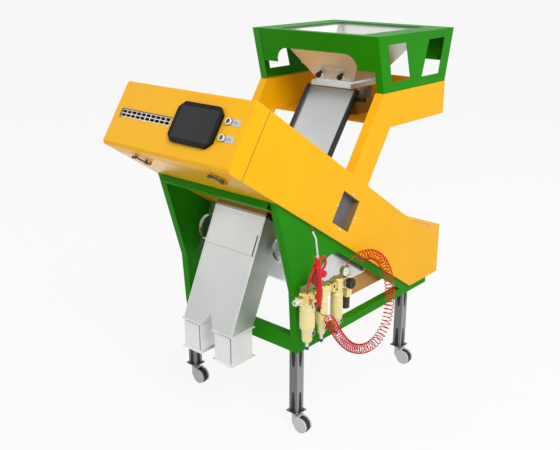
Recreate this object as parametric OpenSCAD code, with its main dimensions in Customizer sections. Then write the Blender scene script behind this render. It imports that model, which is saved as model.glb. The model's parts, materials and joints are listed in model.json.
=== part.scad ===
// Optical colour sorter: tilted sorting head on a castor stand, with hopper, outlets and air unit.
// Lengths are in mm and angles in degrees. X is the operator's right, Y points to the back, Z up.

/* [Sorting head] */
// Overall width of the yellow head
body_w = 740; // [680:5:800]
// Depth of the head square to its slope
body_t = 290; // [270:1:310]
// Slope of the head below horizontal
tilt = 33.7; // [33:0.1:34.5]
// Height of the sharp front top edge above the floor
front_z = 1544; // [1520:1:1570]
// Length of the hinged front cover along the slope
cover_len = 86; // [76:1:94]
// Gap round the hinged covers
seam = 2; // [1.5:0.5:3]
// Sheet thickness of the painted panels
sheet = 3; // [2:0.5:4]
// Radius of the lower front edge of the cover
nose_r = 45; // [30:1:55]
// Radius of the upper front edge of the cover
brow_r = 14; // [8:1:20]
// Height of the tail above its underside
tail_h = 267; // [250:1:280]
// Back face of the tail
tail_y = 1400; // [1390:1:1420]
// Distance along the slope from the front face to the side arms
arm_s = 730; // [715:1:745]
// Width of a side arm along the slope
arm_w = 141; // [120:1:160]
// Thickness of a side arm across the machine
arm_t = 45; // [38:1:55]

/* [Front panel] */
// Width of the touchscreen bezel
screen_w = 244; // [220:1:260]
// Height of the touchscreen bezel
screen_h = 171; // [150:1:190]
// Left edge of the bezel from the machine centre
screen_x = 2; // [-5:1:12]
// Distance of the bezel below the top edge
screen_down = 53; // [48:1:65]
// Corner chamfer of the bezel
screen_chamfer = 28; // [15:1:40]
// Push-button offset from the machine centre
button_x = 279; // [276:1:285]
// Radius of a push-button cap
button_r = 9; // [7:0.5:10]
// Press of a push-button
button_travel = 4; // [2:0.5:5]
// Width of the vent grille
vent_w = 303; // [280:1:310]
// Height of the vent grille
vent_h = 34; // [30:1:40]
// Slots in one row of the grille
vent_cols = 10; // [6:1:12]

/* [Hopper and feed] */
// Height of the hopper above its platform
hop_h = 251; // [240:1:270]
// Height of the platform top that carries the hopper
deck_z = 1461; // [1455:1:1466]
// Depth of the platform boxes
deck_h = 159; // [150:1:165]
// Half width of the hopper opening
hop_half = 250; // [230:1:260]
// Half width of the feed chute
chute_half = 138; // [125:1:145]
// Slope of the feed chute below horizontal
chute_slope = 54; // [53:0.5:56]
// Lift of the feed gate
gate_travel = 30; // [15:1:35]
// Swing of the vibrating tray to each side
shake = 1.5; // [0.5:0.5:2]

/* [Stand] */
// Width over the base rails
base_w = 710; // [700:5:720]
// Size of the square base tube
tube = 40; // [38:1:45]
// Wall of the square base tube
tube_wall = 2.5; // [2:0.5:4]
// Underside of the base rails
rail_z = 398; // [390:1:402]
// Size of the aluminium leg profile
leg = 45; // [40:1:45]
// Radius of a castor wheel
wheel_r = 37.5; // [36:0.5:39]
// Width of a castor wheel
wheel_w = 24; // [22:1:28]
// Trail of a castor
trail = 38; // [34:1:40]

/* [Outlets and air] */
// Half width of the outlet chute
out_half = 153; // [145:1:160]
// Front to back depth of the outlet chute
out_d = 132; // [125:1:140]
// Height of an outlet box
out_box_h = 145; // [130:1:150]
// Height of the centre of the air manifold
air_z = 686; // [680:1:692]
// Outward offset of the air unit from the base panel
air_out = 57; // [54:1:60]
// Outer diameter of the coiled hose
coil_d = 46; // [36:1:46]
// Swing of the gun lever
lever_swing = 12; // [6:1:14]

/* [Hidden] */
$fn = 48;
half = body_w / 2;
in_x = half - sheet;
base_x = base_w / 2;
gap = 0.4;
run = 0.05;
cut = 1;
wide = 2000;
sn = sin(tilt);
cs = cos(tilt);
mid_y = 630;

// Point on the head: s along the slope, t square below the top face
function on_head(s, t) = [s * cs - t * sn, front_z - s * sn - t * cs];
// Height of a sloping plane t below the top face at a given y
function plane_z(y, t) = front_z - y * sn / cs - t / cs;
// Distance back at which that plane has a given height
function plane_y(z, t) = (front_z - z - t / cs) * cs / sn;
function unit(v) = v / norm(v);
// Moves every edge of a counter-clockwise outline inwards by d
function inset(p, d) = [
    for (i = [0 : len(p) - 1])
        let (
            a = p[(i + len(p) - 1) % len(p)],
            b = p[i],
            c = p[(i + 1) % len(p)],
            u = unit(b - a),
            v = unit(c - b),
            nu = [-u.y, u.x],
            nv = [-v.y, v.x]
        )
        b + d * (nu + nv) / (1 + nu * nv)
];

// Head outline
s_open = cover_len + seam;
rail_top = rail_z + tube;
tail_z = rail_top;
tail_top = tail_z + tail_h;
arm_foot_a = on_head(arm_s, 0);
arm_foot_b = on_head(arm_s + arm_w, 0);
arm_top_y = arm_foot_a.x + (deck_z - arm_foot_a.y) * sn / cs;
deck_under = deck_z - deck_h;
arm_under_y = arm_foot_b.x + (deck_under - arm_foot_b.y) * sn / cs;
deck_back = 1354;
notch_y = plane_y(tail_top, 0);
under_y = plane_y(tail_z, body_t);
arm_pts = [
    arm_foot_a,
    arm_foot_b,
    [arm_under_y, deck_under],
    [deck_back, deck_under],
    [deck_back, deck_z],
    [arm_top_y, deck_z]
];
side_pts = [
    on_head(s_open, body_t),
    [under_y, tail_z],
    [tail_y, tail_z],
    [tail_y, tail_top],
    [notch_y, tail_top],
    arm_foot_b,
    [arm_under_y, deck_under],
    [deck_back, deck_under],
    [deck_back, deck_z],
    [arm_top_y, deck_z],
    arm_foot_a,
    on_head(s_open, 0)
];
win_s = 715;
win_t = 83;
win_len = 140;
win_h = 149;
win_depth = 36;
filter_t = 8;
clip_r = 5;
clip_h = 4;

// Covers and hinges
knuckle_r = 6;
knuckle_l = 20;
knuckle_lift = 6.5;
pin_r = 3;
hinge_x = 250;
leaf = 12;
lid_y = 1302;
lip_y = 1330;
tail_r = 24;

// Front panel
glass_in = 18;
glass_t = 2;
bezel_t = 14;
tub_t = 40;
tub_in = 12;
button_s = [101, 168];
ring_r = 14.5;
ring_h = 5;
barrel_r = 11;
barrel_l = 32;
cap_out = 6;
cap_l = 24;
tag_w = 72;
tag_h = 27;
tag_t = 1.5;
vent_x = -325;
vent_down = 129;
vent_t = 5;
vent_gap = 3;
latch_x = 225;
latch_w = 34;
lug_s = 74;
lug_l = 8;
lug_h = 8;
latch_s = 148;
latch_t = 4;
latch_off = 9;
ear_t = 5;

// Optics
cam_w = 110;
cam_h = 90;
cam_l = 170;
cam_s = [250, 1300];
lamp_r = 16;
lamp_l = 300;
lamp_s = [520, 900];
eject_w = 300;
eject_s = 862;
eject_l = 16;
eject_h = 30;
nozzle_bore = 2;
nozzle_n = 24;

// Hopper, feeder and chute
rim_z = deck_z + hop_h;
hop_front = 826;
hop_back = deck_back;
hop_rim_front = 766;
hop_rim_back = 1410;
hop_x = half - sheet;
mouth_front = 815;
mouth_back = 1330;
neck_half = 112;
neck_front = 948;
neck_back = 1150;
neck_end = deck_z + 13;
funnel_lap = 20;
arch_half = 172;
arch_r = 66;
post_x = 330;
tab_z = deck_z + 94;
arch_z = tab_z + arch_r + 4;
pane_t = 2;
knob_x = 64;
gate_h = 70;
knob_up = 45;
knob_r = 13;
knob_l = 34;
stud_r = 3;
tray_z = deck_z - 15;
tray_h = 22;
tray_front = 918;
tray_back = 1250;
tray_t = 2;
drive_y = 1015;
drive_l = 190;
drive_half = 90;
drive_h = 70;
spring_t = 3;
spring_half = 60;
chute_top = [936, deck_z - 23];
chute_len = 560;
rail_w = 12;
rail_h = 26;
tie = 20;
tie_x = 80;
stub_l = 46;

// Stand
front_y = 257;
back_y = 1316;
cross_h = 75;
kink = [238, 690];
flange_w = 34;
front_s = 335;
beam_l = 40;
beam_h = 30;
strip = 38;
hole_y = 403;
hole_r = 96;
leg_x = base_x - leg / 2;
leg_front = front_y + leg / 2;
leg_back = 1121;
plate_w = 64;
plate_t = 6;
leg_z = 100;
slot_w = 10;
slot_d = 7;
bore_r = 6;
castor_top = leg_z - plate_t - gap;
hood_wall = 8;
hood_gap = 2;
hood_open = 8;
cheek_in = 2;
axle_r = 5;
head_r = 20;
pin_up = 14;

// Outlets
out_drop = 29;
out_s = 549;
out_top = on_head(out_s, body_t + out_drop);
out_foot = [58, 487];
out_slope = (out_top.x - out_foot.x) / (out_top.y - out_foot.y);
notch_half = 33;
notch_h = 55;
box_in = 35;
box_out = 160;
box_y = 48;
box_d = 150;
rim = 10;
rim_t = 3;
coll_x = 300;
coll_z = 600;
coll_back = 820;
coll_lip = 705;
skirt_z = 505;
skirt_front = 640;
skirt_back = 1000;
coll_knee = 460;
port_x = 232;
port_r = 60;
port_z = 823;
port_l = 45;

// Air unit
air_x = base_x + air_out;
unit_y = [252, 350, 456];
bowl_r = [34, 26, 28];
bowl_top = 642;
bowl_low = [542, 528, 522];
cup_low = 482;
cup_share = 0.76;
stem_r = 5;
stem_low = 442;
tip_r = 7;
tip_l = 13;
head_w = 54;
head_h = 54;
mani_h = 32;
port_y = 166;
plate_y = 272;
plate_l = 140;
plate_h = 44;
arm_l = 8;
gauge_y = 488.5;
gauge_x = base_x + 82;
gauge_r = 21;
gauge_t = 24;
gauge_lift = 13;
mani_end = 538;
knob_y = 510;
knob_drop = 10;
plug_y = 522;
plug_r = 13;
plug_l = 124;
nut_r = 14;
nut_l = 24;
inlet_r = 7.5;
inlet_l = 20;
knob_air_r = 24;
knob_air_l = 26;
gun_x = base_x + 108;
gun_t = 22;
gun_top = 878;
gun_low = 652;
gun_neck = 78;
gun_brow = 66;
gun_waist = 108;
gun_y = 255;
gun_w = 26;
eye_z = 852;
eye_y = 289;
eye_r = 4;
rest_w = 14;
rest_h = 24;
lever_pin_z = 842;
lever_l = 130;
lever_t = 7;
lever_r = 2.5;
lever_bow = 40;
lever_toe = 26;
nozzle_r = 5;
nozzle_neck = 14;
nozzle_low = 74;
nozzle_up = 62;
nozzle_lean = 10.5;
nozzle_bend = 31;
hose_y = gun_y;
fit_r = 9;
hose_end = [air_x + 4, 520, 748];

// Round route of the coiled hose, from the gun to the outlet of the air unit
route = [
    [gun_x, hose_y, gun_low - 22],
    [gun_x + 1, 264, 604],
    [gun_x + 1, 296, 559],
    [gun_x - 1, 343, 512],
    [gun_x - 10, 403, 455],
    [gun_x - 22, 478, 392],
    [gun_x - 27, 556, 342],
    [gun_x - 30, 640, 308],
    [gun_x - 31, 720, 302],
    [gun_x - 31, 788, 328],
    [gun_x - 31, 834, 378],
    [gun_x - 31, 854, 442],
    [gun_x - 32, 858, 510],
    [gun_x - 33, 850, 578],
    [gun_x - 34, 826, 644],
    [gun_x - 35, 780, 704],
    [gun_x - 36, 716, 750],
    [gun_x - 36, 648, 780],
    [gun_x - 40, 594, 800],
    [gun_x - 44, 554, 800],
    [gun_x - 46, 530, 786],
    [hose_end.x, hose_end.y + 2, hose_end.z + 16],
    hose_end
];
hose_sides = 10;
end_r = 6;
function ring_rad(i) = i < 2 || i > len(route) - 3 ? end_r : coil_d / 2;
function ring_dir(i) = unit(route[min(i + 1, len(route) - 1)] - route[max(i - 1, 0)]);
function ring_pts(i) = let (
    d = i == 0 ? [0, 0, -1] : (i == len(route) - 1 ? [0, 0, -1] : ring_dir(i)),
    u = [1, 0, 0] - d * d.x,
    a = unit(u),
    b = cross(d, a)
) [
    for (k = [0 : hose_sides - 1])
        route[i] + ring_rad(i) * (cos(360 * k / hose_sides) * a + sin(360 * k / hose_sides) * b)
];

// Sub-part to draw, or all of them

// Stands a (y, z) outline upright and runs it across the machine from x0 for a length l
module across(x0, l) {
    translate([x0, 0, 0])
        rotate([90, 0, 90])
            linear_extrude(l)
                children();
}

// Places children in head coordinates: x, distance along the slope, height above the top face
module head() {
    translate([0, 0, front_z])
        rotate([-tilt, 0, 0])
            children();
}

// Puts the middle of the machine's length at the origin
module at_origin() {
    translate([0, -mid_y, 0])
        children();
}

module both_sides() {
    children();
    mirror([1, 0, 0])
        children();
}

module rod_x(r, l) {
    rotate([0, 90, 0])
        cylinder(r = r, h = l);
}

module rod_y(r, l) {
    rotate([-90, 0, 0])
        cylinder(r = r, h = l);
}

module box_tube(size, wall, axis) {
    hollow = [for (i = [0 : 2]) i == axis ? size[i] + 2 * cut : size[i] - 2 * wall];
    difference() {
        cube(size);
        translate([for (i = [0 : 2]) i == axis ? -cut : wall])
            cube(hollow);
    }
}

// Base frame: two side rails, two cross rails and the beam under the head
module base_frame() {
    color([0.13, 0.55, 0.13]) {
        for (x = [-base_x, base_x - tube])
            translate([x, front_y, rail_z]) {
                box_tube([tube, back_y - front_y, tube], tube_wall, 1);
                cube([tube, tube_wall, tube]);
            }
        translate([tube - base_x, front_y, rail_z])
            box_tube([base_w - 2 * tube, tube, cross_h], tube_wall, 0);
        translate([tube - base_x, back_y - tube, rail_z])
            box_tube([base_w - 2 * tube, tube, tube], tube_wall, 0);
        head()
            translate([flange_w + sheet - base_x, front_s, -body_t - beam_h])
                box_tube([base_w - 2 * (flange_w + sheet), beam_l, beam_h], tube_wall, 0);
    }
}

panel_top = on_head(front_s, body_t);
panel_low = [kink.x + (front_y - kink.x) * (kink.y - rail_top) / (kink.y - rail_z), rail_top];
hole_t = body_t + strip + hole_r;
hole_c = [hole_y + hole_r, plane_z(hole_y + hole_r, hole_t)];
hole_end = plane_y(rail_top, body_t + strip);

module base_panel() {
    color([0.13, 0.55, 0.13]) {
        across(base_x - sheet, sheet)
            difference() {
                polygon([panel_top, kink, panel_low, [under_y, rail_top]]);
                polygon([
                    [hole_y, rail_top - cut],
                    [hole_end, rail_top - cut],
                    [hole_end, rail_top],
                    hole_c + hole_r * [sn, cs],
                    hole_c,
                    [hole_y, hole_c.y]
                ]);
                translate(hole_c)
                    circle(r = hole_r);
            }
        across(base_x - sheet - flange_w, flange_w)
            polygon([
                panel_top,
                kink,
                panel_low,
                panel_low + [sheet, 0],
                kink + [sheet, 0],
                panel_top + [sheet, -sheet * sn / cs]
            ]);
    }
}

module base_panel_right() {
    base_panel();
}

module base_panel_left() {
    mirror([1, 0, 0])
        base_panel();
}

module at_legs() {
    for (x = [-leg_x, leg_x])
        for (y = [leg_front, leg_back])
            translate([x, y, 0])
                children();
}

// Four slotted aluminium legs
module legs() {
    color([0.55, 0.56, 0.58])
        at_legs()
            translate([0, 0, leg_z])
                difference() {
                    translate([-leg / 2, -leg / 2, 0])
                        cube([leg, leg, rail_z - leg_z]);
                    for (a = [0 : 90 : 270])
                        rotate([0, 0, a])
                            translate([-slot_w / 2, leg / 2 - slot_d, -cut])
                                cube([slot_w, slot_d + cut, rail_z - leg_z + 2 * cut]);
                    translate([0, 0, -cut])
                        cylinder(r = bore_r + run, h = rail_z - leg_z + 2 * cut);
                }
}

module foot_plates() {
    color([0.2, 0.2, 0.2])
        at_legs()
            translate([0, 0, leg_z - plate_t])
                difference() {
                    translate([-plate_w / 2, -plate_w / 2, 0])
                        cube([plate_w, plate_w, plate_t]);
                    translate([0, 0, -cut])
                        cylinder(r = bore_r + run, h = plate_t + 2 * cut);
                }
}

hood_r = wheel_r + hood_gap + hood_wall / 2;
hood_w = wheel_w + 2 * hood_gap + 2 * hood_wall;

// Castor fork about its swivel axis: two cheeks, a shell over the tread on the head side, the axle
module castor_fork() {
    color([0.75, 0.76, 0.75])
        difference() {
            union() {
                translate([trail, -hood_w / 2, wheel_r])
                    rod_y(wheel_r - cheek_in, hood_w);
                difference() {
                    translate([trail, -hood_w / 2, wheel_r])
                        rod_y(hood_r, hood_w);
                    translate([trail - hood_open, -wide / 2, -wide / 2])
                        cube(wide);
                    translate([-wide / 2, -wide / 2, -wide + wheel_r - axle_r - hood_gap])
                        cube(wide);
                }
                translate([0, 0, wheel_r])
                    cylinder(r = head_r, h = castor_top - wheel_r);
                translate([0, 0, castor_top - cut])
                    cylinder(r = bore_r, h = pin_up + cut);
            }
            translate([trail, hood_wall - hood_w / 2, wheel_r])
                difference() {
                    rod_y(wheel_r + hood_gap, hood_w - 2 * hood_wall);
                    translate([0, -cut, 0])
                        rod_y(axle_r, hood_w);
                }
        }
}

// Castor wheel with a rounded tread and a dished hub
module castor_wheel() {
    color([0.1, 0.1, 0.1])
        translate([trail, 0, wheel_r])
            rotate([90, 0, 0])
                rotate_extrude()
                    difference() {
                        union() {
                            translate([axle_r + run, -wheel_w / 2])
                                square([wheel_r * 0.85 - axle_r, wheel_w]);
                            translate([axle_r + run, -wheel_w / 3])
                                square([wheel_r - axle_r - run, wheel_w * 2 / 3]);
                            for (k = [-1, 1])
                                translate([wheel_r - wheel_w / 6, k * wheel_w / 3])
                                    circle(r = wheel_w / 6);
                        }
                        for (k = [-1, 1])
                            translate([wheel_r * 0.3, k * wheel_w / 2 - wheel_w / 8])
                                square([wheel_r * 0.4, wheel_w / 4]);
                    }
}

module castor_fork_fl() {
    translate([-leg_x, leg_front, 0])
        castor_fork();
}

module castor_fork_fr() {
    translate([leg_x, leg_front, 0])
        castor_fork();
}

module castor_fork_bl() {
    translate([-leg_x, leg_back, 0])
        castor_fork();
}

module castor_fork_br() {
    translate([leg_x, leg_back, 0])
        castor_fork();
}

module castor_wheel_fl() {
    translate([-leg_x, leg_front, 0])
        castor_wheel();
}

module castor_wheel_fr() {
    translate([leg_x, leg_front, 0])
        castor_wheel();
}

module castor_wheel_bl() {
    translate([-leg_x, leg_back, 0])
        castor_wheel();
}

module castor_wheel_br() {
    translate([leg_x, leg_back, 0])
        castor_wheel();
}

// Side panel of the head with the recessed window and its folded walls
module side_panel() {
    color([1, 0.75, 0.17]) {
        difference() {
            union() {
                across(in_x, sheet)
                    polygon(side_pts);
                head()
                    translate([half - win_depth, win_s - sheet, -win_t - win_h - sheet])
                        cube([win_depth - sheet + cut, win_len + 2 * sheet, win_h + 2 * sheet]);
            }
            head()
                translate([half - win_depth - cut, win_s, -win_t - win_h])
                    cube([win_depth + 2 * cut, win_len, win_h]);
        }
    }
}

module side_panel_right() {
    side_panel();
}

module side_panel_left() {
    mirror([1, 0, 0])
        side_panel();
}

// Folded box behind the side panel that carries the hopper
module arm_box() {
    color([1, 0.75, 0.17])
        difference() {
            across(half - arm_t, arm_t - sheet)
                polygon(arm_pts);
            across(half - arm_t + sheet, arm_t)
                polygon(inset(arm_pts, sheet));
        }
}

module arm_box_right() {
    arm_box();
}

module arm_box_left() {
    mirror([1, 0, 0])
        arm_box();
}

chute_cut = chute_len * cos(chute_slope);
slot_c = [chute_top.x - chute_len * cos(chute_slope), chute_top.y - chute_len * sin(chute_slope)];

// Drawn in the chute's own frame: length down the slope along +Y, thickness along +Z
module on_chute() {
    translate([0, chute_top.x, chute_top.y])
        rotate([chute_slope, 0, 0])
            mirror([0, 1, 0])
                children();
}

module hinge_fixed() {
    for (x = [-hinge_x, hinge_x]) {
        for (k = [-1, 1])
            translate([x + k * (knuckle_l + gap) - knuckle_l / 2, 0, 0]) {
                translate([0, 0, knuckle_lift])
                    rod_x(knuckle_r, knuckle_l);
                translate([0, seam / 2, -sheet])
                    cube([knuckle_l, leaf, sheet + knuckle_lift]);
            }
        translate([x - knuckle_l, 0, knuckle_lift])
            rod_x(pin_r, 2 * knuckle_l);
    }
}

module hinge_moving() {
    for (x = [-hinge_x, hinge_x])
        translate([x - knuckle_l / 2, 0, 0])
            difference() {
                union() {
                    translate([0, 0, knuckle_lift])
                        rod_x(knuckle_r, knuckle_l);
                    translate([0, -seam / 2 - leaf, -sheet])
                        cube([knuckle_l, leaf, sheet + knuckle_lift]);
                }
                translate([-cut, 0, knuckle_lift])
                    rod_x(pin_r + run, knuckle_l + 2 * cut);
            }
}

// Top sheet of the head with the slot for the feed chute and the strip on the tail
module top_cover() {
    color([1, 0.75, 0.17]) {
        difference() {
            union() {
                across(-in_x, 2 * in_x)
                    polygon([
                        on_head(s_open, sheet),
                        [notch_y - sheet * (1 / sn - 1 / (sn / cs)), tail_top - sheet],
                        [lid_y - seam, tail_top - sheet],
                        [lid_y - seam, tail_top],
                        [notch_y, tail_top],
                        on_head(s_open, 0)
                    ]);
                head()
                    translate([0, cover_len + seam / 2, 0])
                        hinge_fixed();
                translate([0, lid_y - seam / 2, tail_top])
                    mirror([0, 1, 0])
                        hinge_fixed();
            }
            on_chute()
                translate([-chute_half - rail_w - seam, -cut, -rail_h - seam])
                    cube([2 * (chute_half + rail_w + seam), chute_len, 2 * (rail_h + seam)]);
        }
    }
}

module latch_ears() {
    for (x = [-latch_x, latch_x])
        for (k = [0, 1])
            translate([x - latch_w / 2 + k * (latch_w - ear_t), latch_s, -body_t])
                difference() {
                    union() {
                        translate([0, -knuckle_r, -latch_off])
                            cube([ear_t, 2 * knuckle_r, latch_off]);
                        translate([0, 0, -latch_off])
                            rod_x(knuckle_r, ear_t);
                    }
                    translate([-cut, 0, -latch_off])
                        rod_x(pin_r + run, ear_t + 2 * cut);
                }
}

flow_front = 556;
flow_back = 850;
flow_half = 146;

// Underside of the head, open where the grain falls, with the ears of the two latches
skirt_step = coll_back + 2 * sheet;

module bottom_cover() {
    color([1, 0.75, 0.17]) {
        difference() {
            across(-in_x, 2 * in_x)
                polygon([
                    on_head(s_open, body_t),
                    [under_y, tail_z],
                    [lip_y - seam, tail_z],
                    [lip_y - seam, tail_z + sheet],
                    [under_y + sheet * (1 / sn - 1 / (sn / cs)), tail_z + sheet],
                    on_head(s_open, body_t - sheet)
                ]);
            head()
                translate([-flow_half, flow_front, -body_t - cut])
                    cube([2 * flow_half, flow_back - flow_front, sheet + 2 * cut]);
        }
        head()
            latch_ears();
        both_sides()
            across(coll_x - sheet, sheet)
                polygon([
                    [skirt_front, skirt_z],
                    [skirt_back, skirt_z],
                    [skirt_back, plane_z(skirt_back, body_t - sheet / 2)],
                    [skirt_step, plane_z(skirt_step, body_t - sheet / 2)],
                    [skirt_step, coll_z - 2 * sheet],
                    [skirt_front, coll_z - 2 * sheet]
                ]);
    }
}

// Hinged cover over the back of the tail
module rear_cover() {
    color([1, 0.75, 0.17]) {
        across(gap - in_x, 2 * (in_x - gap))
            difference() {
                union() {
                    translate([lid_y, tail_z + tail_r])
                        square([tail_y - lid_y, tail_h - tail_r]);
                    translate([lip_y, tail_z])
                        square([tail_y - tail_r - lip_y, tail_r]);
                    translate([tail_y - tail_r, tail_z + tail_r])
                        circle(r = tail_r);
                }
                translate([lid_y - cut, tail_z + tail_r])
                    square([tail_y - lid_y - sheet + cut, tail_h - tail_r - sheet]);
                translate([lip_y - cut, tail_z + sheet])
                    square([tail_y - tail_r - lip_y + cut, tail_r - sheet + cut]);
                translate([tail_y - tail_r, tail_z + tail_r])
                    circle(r = tail_r - sheet);
            }
        translate([0, lid_y - seam / 2, tail_top])
            mirror([0, 1, 0])
                hinge_moving();
    }
}

module nose_outline(d) {
    low = body_t - d;
    n = nose_r - d;
    b = brow_r - d;
    intersection() {
        translate([0, -body_t])
            square([cover_len, body_t]);
        union() {
            translate([d, -low + n])
                square([cover_len - d, low - n - d - b]);
            translate([d + b, -d - b])
                square([cover_len - d - b, b]);
            translate([d + n, -low])
                square([cover_len - d - n, n]);
            translate([d + b, -d - b])
                circle(r = b);
            translate([d + n, -low + n])
                circle(r = n);
        }
    }
}

module on_front() {
    head()
        rotate([90, 0, 0])
            children();
}

// Hinged front cover with the openings for the screen, buttons and vent
module front_cover() {
    color([1, 0.75, 0.17])
        difference() {
            head()
                union() {
                    difference() {
                        translate([-half, 0, 0])
                            rotate([90, 0, 90])
                                linear_extrude(body_w)
                                    nose_outline(0);
                        translate([-in_x, 0, 0])
                            rotate([90, 0, 90])
                                linear_extrude(2 * in_x)
                                    nose_outline(sheet);
                        translate([-in_x, cover_len - cut, sheet - body_t])
                            cube([2 * in_x, 2 * cut, body_t - 2 * sheet]);
                    }
                    translate([0, cover_len + seam / 2, 0])
                        hinge_moving();
                    for (x = [-latch_x, latch_x])
                        translate([x - latch_w / 4, lug_s, -body_t - lug_h])
                            cube([latch_w / 2, lug_l, lug_h + sheet / 2]);
                }
            on_front() {
                translate([screen_x + tub_in, -screen_down - screen_h + tub_in, -tub_t])
                    cube([screen_w - 2 * tub_in, screen_h - 2 * tub_in, 2 * tub_t]);
                for (d = button_s)
                    translate([button_x, -d, -barrel_l])
                        cylinder(r = barrel_r, h = 2 * barrel_l);
                translate([vent_x, -vent_down - vent_h, -tub_t])
                    cube([vent_w, vent_h, 2 * tub_t]);
            }
        }
}

module screen_outline(d) {
    c = screen_chamfer;
    translate([screen_x, -screen_down - screen_h])
        polygon(inset([
            [c, 0],
            [screen_w - c, 0],
            [screen_w, c],
            [screen_w, screen_h - c],
            [screen_w - c, screen_h],
            [c, screen_h],
            [0, screen_h - c],
            [0, c]
        ], d));
}

// Touchscreen housing with the recess for its glass
module screen_bezel() {
    color([0.05, 0.05, 0.05])
        on_front()
            difference() {
                union() {
                    linear_extrude(bezel_t)
                        screen_outline(0);
                    translate([screen_x + tub_in, -screen_down - screen_h + tub_in, -tub_t])
                        cube([screen_w - 2 * tub_in, screen_h - 2 * tub_in, tub_t + cut]);
                }
                translate([screen_x + glass_in, -screen_down - screen_h + glass_in, bezel_t - glass_t])
                    cube([screen_w - 2 * glass_in, screen_h - 2 * glass_in, glass_t + cut]);
            }
}

module screen_glass() {
    color([0.2, 0.2, 0.2])
        on_front()
            translate([screen_x + glass_in, -screen_down - screen_h + glass_in, bezel_t - glass_t])
                cube([screen_w - 2 * glass_in, screen_h - 2 * glass_in, glass_t]);
}

module vent_grille() {
    pitch = (vent_w - vent_gap) / vent_cols;
    row = (vent_h - vent_gap) / 2;
    color([0.85, 0.85, 0.85])
        on_front()
            translate([vent_x, -vent_down - vent_h, -sheet])
                difference() {
                    cube([vent_w, vent_h, vent_t]);
                    for (i = [0 : vent_cols - 1])
                        for (j = [0, 1])
                            translate([vent_gap + i * pitch, vent_gap + j * row, -cut])
                                cube([pitch - vent_gap, row - vent_gap, vent_t + 2 * cut]);
                }
}

module button_cap(down) {
    on_front()
        translate([button_x, -down, tag_t + ring_h + cap_out - cap_l])
            cylinder(r = button_r, h = cap_l);
}

module stop_button() {
    color([0.55, 0.05, 0.05])
        button_cap(button_s[0]);
}

module start_button() {
    color([0.1, 0.5, 0.2])
        button_cap(button_s[1]);
}

// Threaded button bodies with their front rings
module button_rings() {
    color([0.9, 0.9, 0.9])
        on_front()
            for (d = button_s)
                translate([button_x, -d, 0])
                    difference() {
                        union() {
                            translate([0, 0, -barrel_l])
                                cylinder(r = barrel_r, h = barrel_l + tag_t + cut);
                            translate([0, 0, tag_t])
                                cylinder(r = ring_r, h = ring_h);
                        }
                        translate([0, 0, sheet - barrel_l])
                            cylinder(r = button_r + run, h = wide);
                    }
}

module legend_plates() {
    color([0.7, 0.7, 0.7])
        on_front()
            for (d = button_s)
                translate([button_x, -d, 0])
                    difference() {
                        translate([-tag_h / 2, -tag_h / 2, 0])
                            cube([tag_w, tag_h, tag_t]);
                        translate([0, 0, -cut])
                            cylinder(r = barrel_r, h = tag_t + 2 * cut);
                    }
}

// Latch lever: finger lip at the front under the keeper of the cover, pivot at the back
module latch(x) {
    lever_w = latch_w - 2 * ear_t - 2 * gap;
    low = -body_t - lug_h - gap - latch_t;
    hook_s = lug_s - lug_l - gap;
    color([0.15, 0.15, 0.15])
        head()
            translate([x, 0, 0]) {
                translate([-lever_w / 2, hook_s, low])
                    cube([lever_w, latch_s - hook_s, latch_t]);
                translate([-lever_w / 2, hook_s, low - lug_h])
                    cube([lever_w, latch_t, latch_t + lug_h]);
                translate([-lever_w / 2, latch_s, -body_t - latch_off])
                    rod_x(knuckle_r, lever_w);
                translate([-latch_w / 2, latch_s, -body_t - latch_off])
                    rod_x(pin_r, latch_w);
            }
}

module latch_left() {
    latch(-latch_x);
}

module latch_right() {
    latch(latch_x);
}

module filter_mats() {
    color([0.3, 0.3, 0.3])
        both_sides()
            head()
                translate([half - win_depth - filter_t, win_s - sheet, -win_t - win_h - sheet])
                    cube([filter_t, win_len + 2 * sheet, win_h + 2 * sheet]);
}

// Clips at the middle of each side of the window
module window_clips() {
    color([0.85, 0.85, 0.85])
        both_sides()
            head()
                for (p = [
                    [win_s - 2 * clip_r, win_t + win_h / 2],
                    [win_s + win_len + 2 * clip_r, win_t + win_h / 2],
                    [win_s + win_len / 2, win_t - 2 * clip_r],
                    [win_s + win_len / 2, win_t + win_h + 2 * clip_r]
                ])
                    translate([half, p.x, -p.y])
                        rod_x(clip_r, clip_h);
}

// Front and back cameras, each a housing with a lens barrel, on the underside sheet
module cameras() {
    color([0.12, 0.12, 0.13])
        head()
            for (k = [[cam_s[0], 1], [cam_s[1], -1]])
                translate([-cam_w / 2, k.x - cam_l / 2, sheet + run - body_t]) {
                    cube([cam_w, cam_l, cam_h]);
                    translate([cam_w / 2, cam_l / 2 + (k.y > 0 ? cam_l / 2 : -cam_l), cam_h / 2])
                        rod_y(cam_h / 3, cam_l / 2);
                }
}

// Lamp tubes before and behind the falling grain, held by end plates on the underside
module lamp_bars() {
    color([0.9, 0.9, 0.92])
        head()
            for (s = lamp_s) {
                translate([-lamp_l / 2, s, lamp_r * 4 - body_t])
                    rod_x(lamp_r, lamp_l);
                for (x = [-lamp_l / 2 - sheet, lamp_l / 2])
                    translate([x, s - lamp_r, sheet - body_t])
                        cube([sheet, 2 * lamp_r, 5 * lamp_r - sheet]);
            }
}

// Valve block with a row of air nozzles facing the falling grain
module ejector_bar() {
    pitch = eject_w / nozzle_n;
    color([0.6, 0.62, 0.64])
        head()
            difference() {
                translate([-eject_w / 2 - pitch, eject_s, sheet - body_t])
                    cube([eject_w + 2 * pitch, eject_l, eject_h]);
                for (i = [0 : nozzle_n - 1])
                    translate([
                        (i + 0.5) * pitch - eject_w / 2,
                        eject_s - cut,
                        sheet - body_t + eject_h / 2
                    ])
                        rod_y(nozzle_bore, eject_l + 2 * cut);
            }
}

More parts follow.
